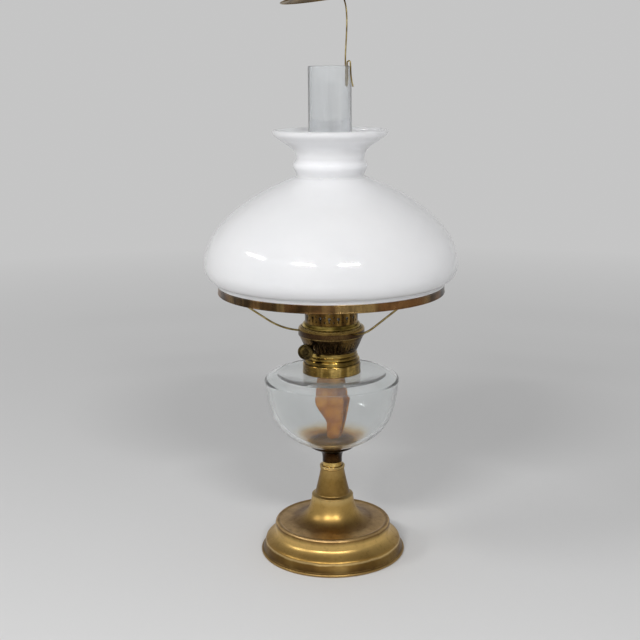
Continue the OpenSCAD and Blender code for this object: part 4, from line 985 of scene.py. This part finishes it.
stage = {  # seen is how bright the background looks, overhead the same straight up, light what falls on the lamp
    "floorSize": 60.0, "nearTone": (218, 218, 218), "farTone": (252, 252, 252), "seen": 0.56, "light": 0.38,
    "overhead": 0.2,
}
floorMesh = bpy.data.meshes.new("floor")
half = stage["floorSize"] / 2
floorMesh.from_pydata([(-half, -half, 0), (half, -half, 0), (half, half, 0), (-half, half, 0)], [], [(0, 1, 2, 3)])
floor = bpy.data.objects.new("floor", floorMesh)
bpy.context.scene.collection.objects.link(floor)
floor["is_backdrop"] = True
floorFinish, floorTree, floorShader = startFinish("paleFloor", Roughness=0.75)
floorCoords = floorTree.nodes.new("ShaderNodeTexCoord")
away = floorTree.nodes.new("ShaderNodeVectorMath")
away.operation = "LENGTH"
floorTree.links.new(floorCoords.outputs["Object"], away.inputs[0])
fade = spread(floorTree, away.outputs["Value"], 0, 1, 0.4, 4.0)
floorTone = ramp(floorTree, fade, [(0, paint(*stage["nearTone"])), (1, paint(*stage["farTone"]))])
floorTree.links.new(floorTone, floorShader.inputs["Base Color"])
floorRays = floorTree.nodes.new("ShaderNodeLightPath")
farSeen = floorTree.nodes.new("ShaderNodeMath")
farSeen.operation = "MULTIPLY"
floorTree.links.new(spread(floorTree, away.outputs["Value"], 0, 1, 0.5, 2.2), farSeen.inputs[0])
floorTree.links.new(seenRays(floorTree, floorRays), farSeen.inputs[1])
glow = floorTree.nodes.new("ShaderNodeEmission")
glow.inputs["Color"].default_value = (stage["seen"], stage["seen"], stage["seen"], 1)
floorMix = floorTree.nodes.new("ShaderNodeMixShader")
floorTree.links.new(farSeen.outputs[0], floorMix.inputs["Fac"])
floorTree.links.new(floorShader.outputs[0], floorMix.inputs[1])
floorTree.links.new(glow.outputs[0], floorMix.inputs[2])
floorTree.links.new(floorMix.outputs[0], floorTree.nodes["Material Output"].inputs["Surface"])
floorMesh.materials.append(floorFinish)

world = bpy.data.worlds.new("paleStudio")
bpy.context.scene.world = world
world.use_nodes = True
tree = world.node_tree
tree.nodes.clear()
rays = tree.nodes.new("ShaderNodeLightPath")
lit = tree.nodes.new("ShaderNodeBackground")
lit.inputs["Color"].default_value = (1, 1, 1, 1)
lit.inputs["Strength"].default_value = stage["light"]
seen = tree.nodes.new("ShaderNodeBackground")
seen.inputs["Color"].default_value = (1, 1, 1, 1)
sky = tree.nodes.new("ShaderNodeTexCoord")
skyAxes = tree.nodes.new("ShaderNodeSeparateXYZ")
tree.links.new(sky.outputs["Generated"], skyAxes.inputs["Vector"])
dimming = spread(tree, skyAxes.outputs["Z"], stage["seen"], stage["overhead"], 0.1, 0.8)
tree.links.new(dimming, seen.inputs["Strength"])
mixed = tree.nodes.new("ShaderNodeMixShader")
out = tree.nodes.new("ShaderNodeOutputWorld")
tree.links.new(seenRays(tree, rays), mixed.inputs["Fac"])
tree.links.new(lit.outputs[0], mixed.inputs[1])
tree.links.new(seen.outputs[0], mixed.inputs[2])
tree.links.new(mixed.outputs[0], out.inputs["Surface"])

lamps = {  # azimuth in degrees from the viewer's side, elevation, distance, width, height, watts
    "softboxLeft": (-78, 32, 2.0, 0.7, 0.1, 6.5),
    "softboxFrontLeft": (-26, 33, 2.0, 0.6, 0.06, 14),
    "softboxFrontRight": (16, 33, 2.0, 0.55, 0.06, 14),
}
aim = np.array([0, 0, 0.25])
for name, (azimuth, elevation, distance, width, high, watts) in lamps.items():
    az, el = math.radians(azimuth), math.radians(elevation)
    way = np.array([math.sin(az) * math.cos(el), -math.cos(az) * math.cos(el), math.sin(el)])
    data = bpy.data.lights.new(name, "AREA")
    data.shape = "RECTANGLE"
    data.size, data.size_y, data.energy = width, high, watts
    lamp = bpy.data.objects.new(name, data)
    lamp.location = aim + distance * way
    lamp.rotation_mode = "QUATERNION"
    lamp.rotation_quaternion = Vector(-way).to_track_quat("-Z", "Y")
    bpy.context.scene.collection.objects.link(lamp)

# the camera that fits the lamp's outlines in the photograph: metres, degrees and the lens in mm
view = {"place": (-0.0118, -1.121, 0.5011), "pitch": 12.45, "roll": -0.52, "lens": 62.0, "sensor": 36}
cameraData = bpy.data.cameras.new("camera")
cameraData.lens = view["lens"]
cameraData.sensor_width = view["sensor"]
camera = bpy.data.objects.new("camera", cameraData)
bpy.context.scene.collection.objects.link(camera)
camera.matrix_world = (
    Matrix.Translation(view["place"])
    @ Matrix.Rotation(math.radians(90 - view["pitch"]), 4, "X")
    @ Matrix.Rotation(math.radians(view["roll"]), 4, "Z")
)
bpy.context.scene.camera = camera
bpy.context.scene.view_settings.view_transform = "Standard"
print("floor, light and camera made")

low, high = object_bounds()
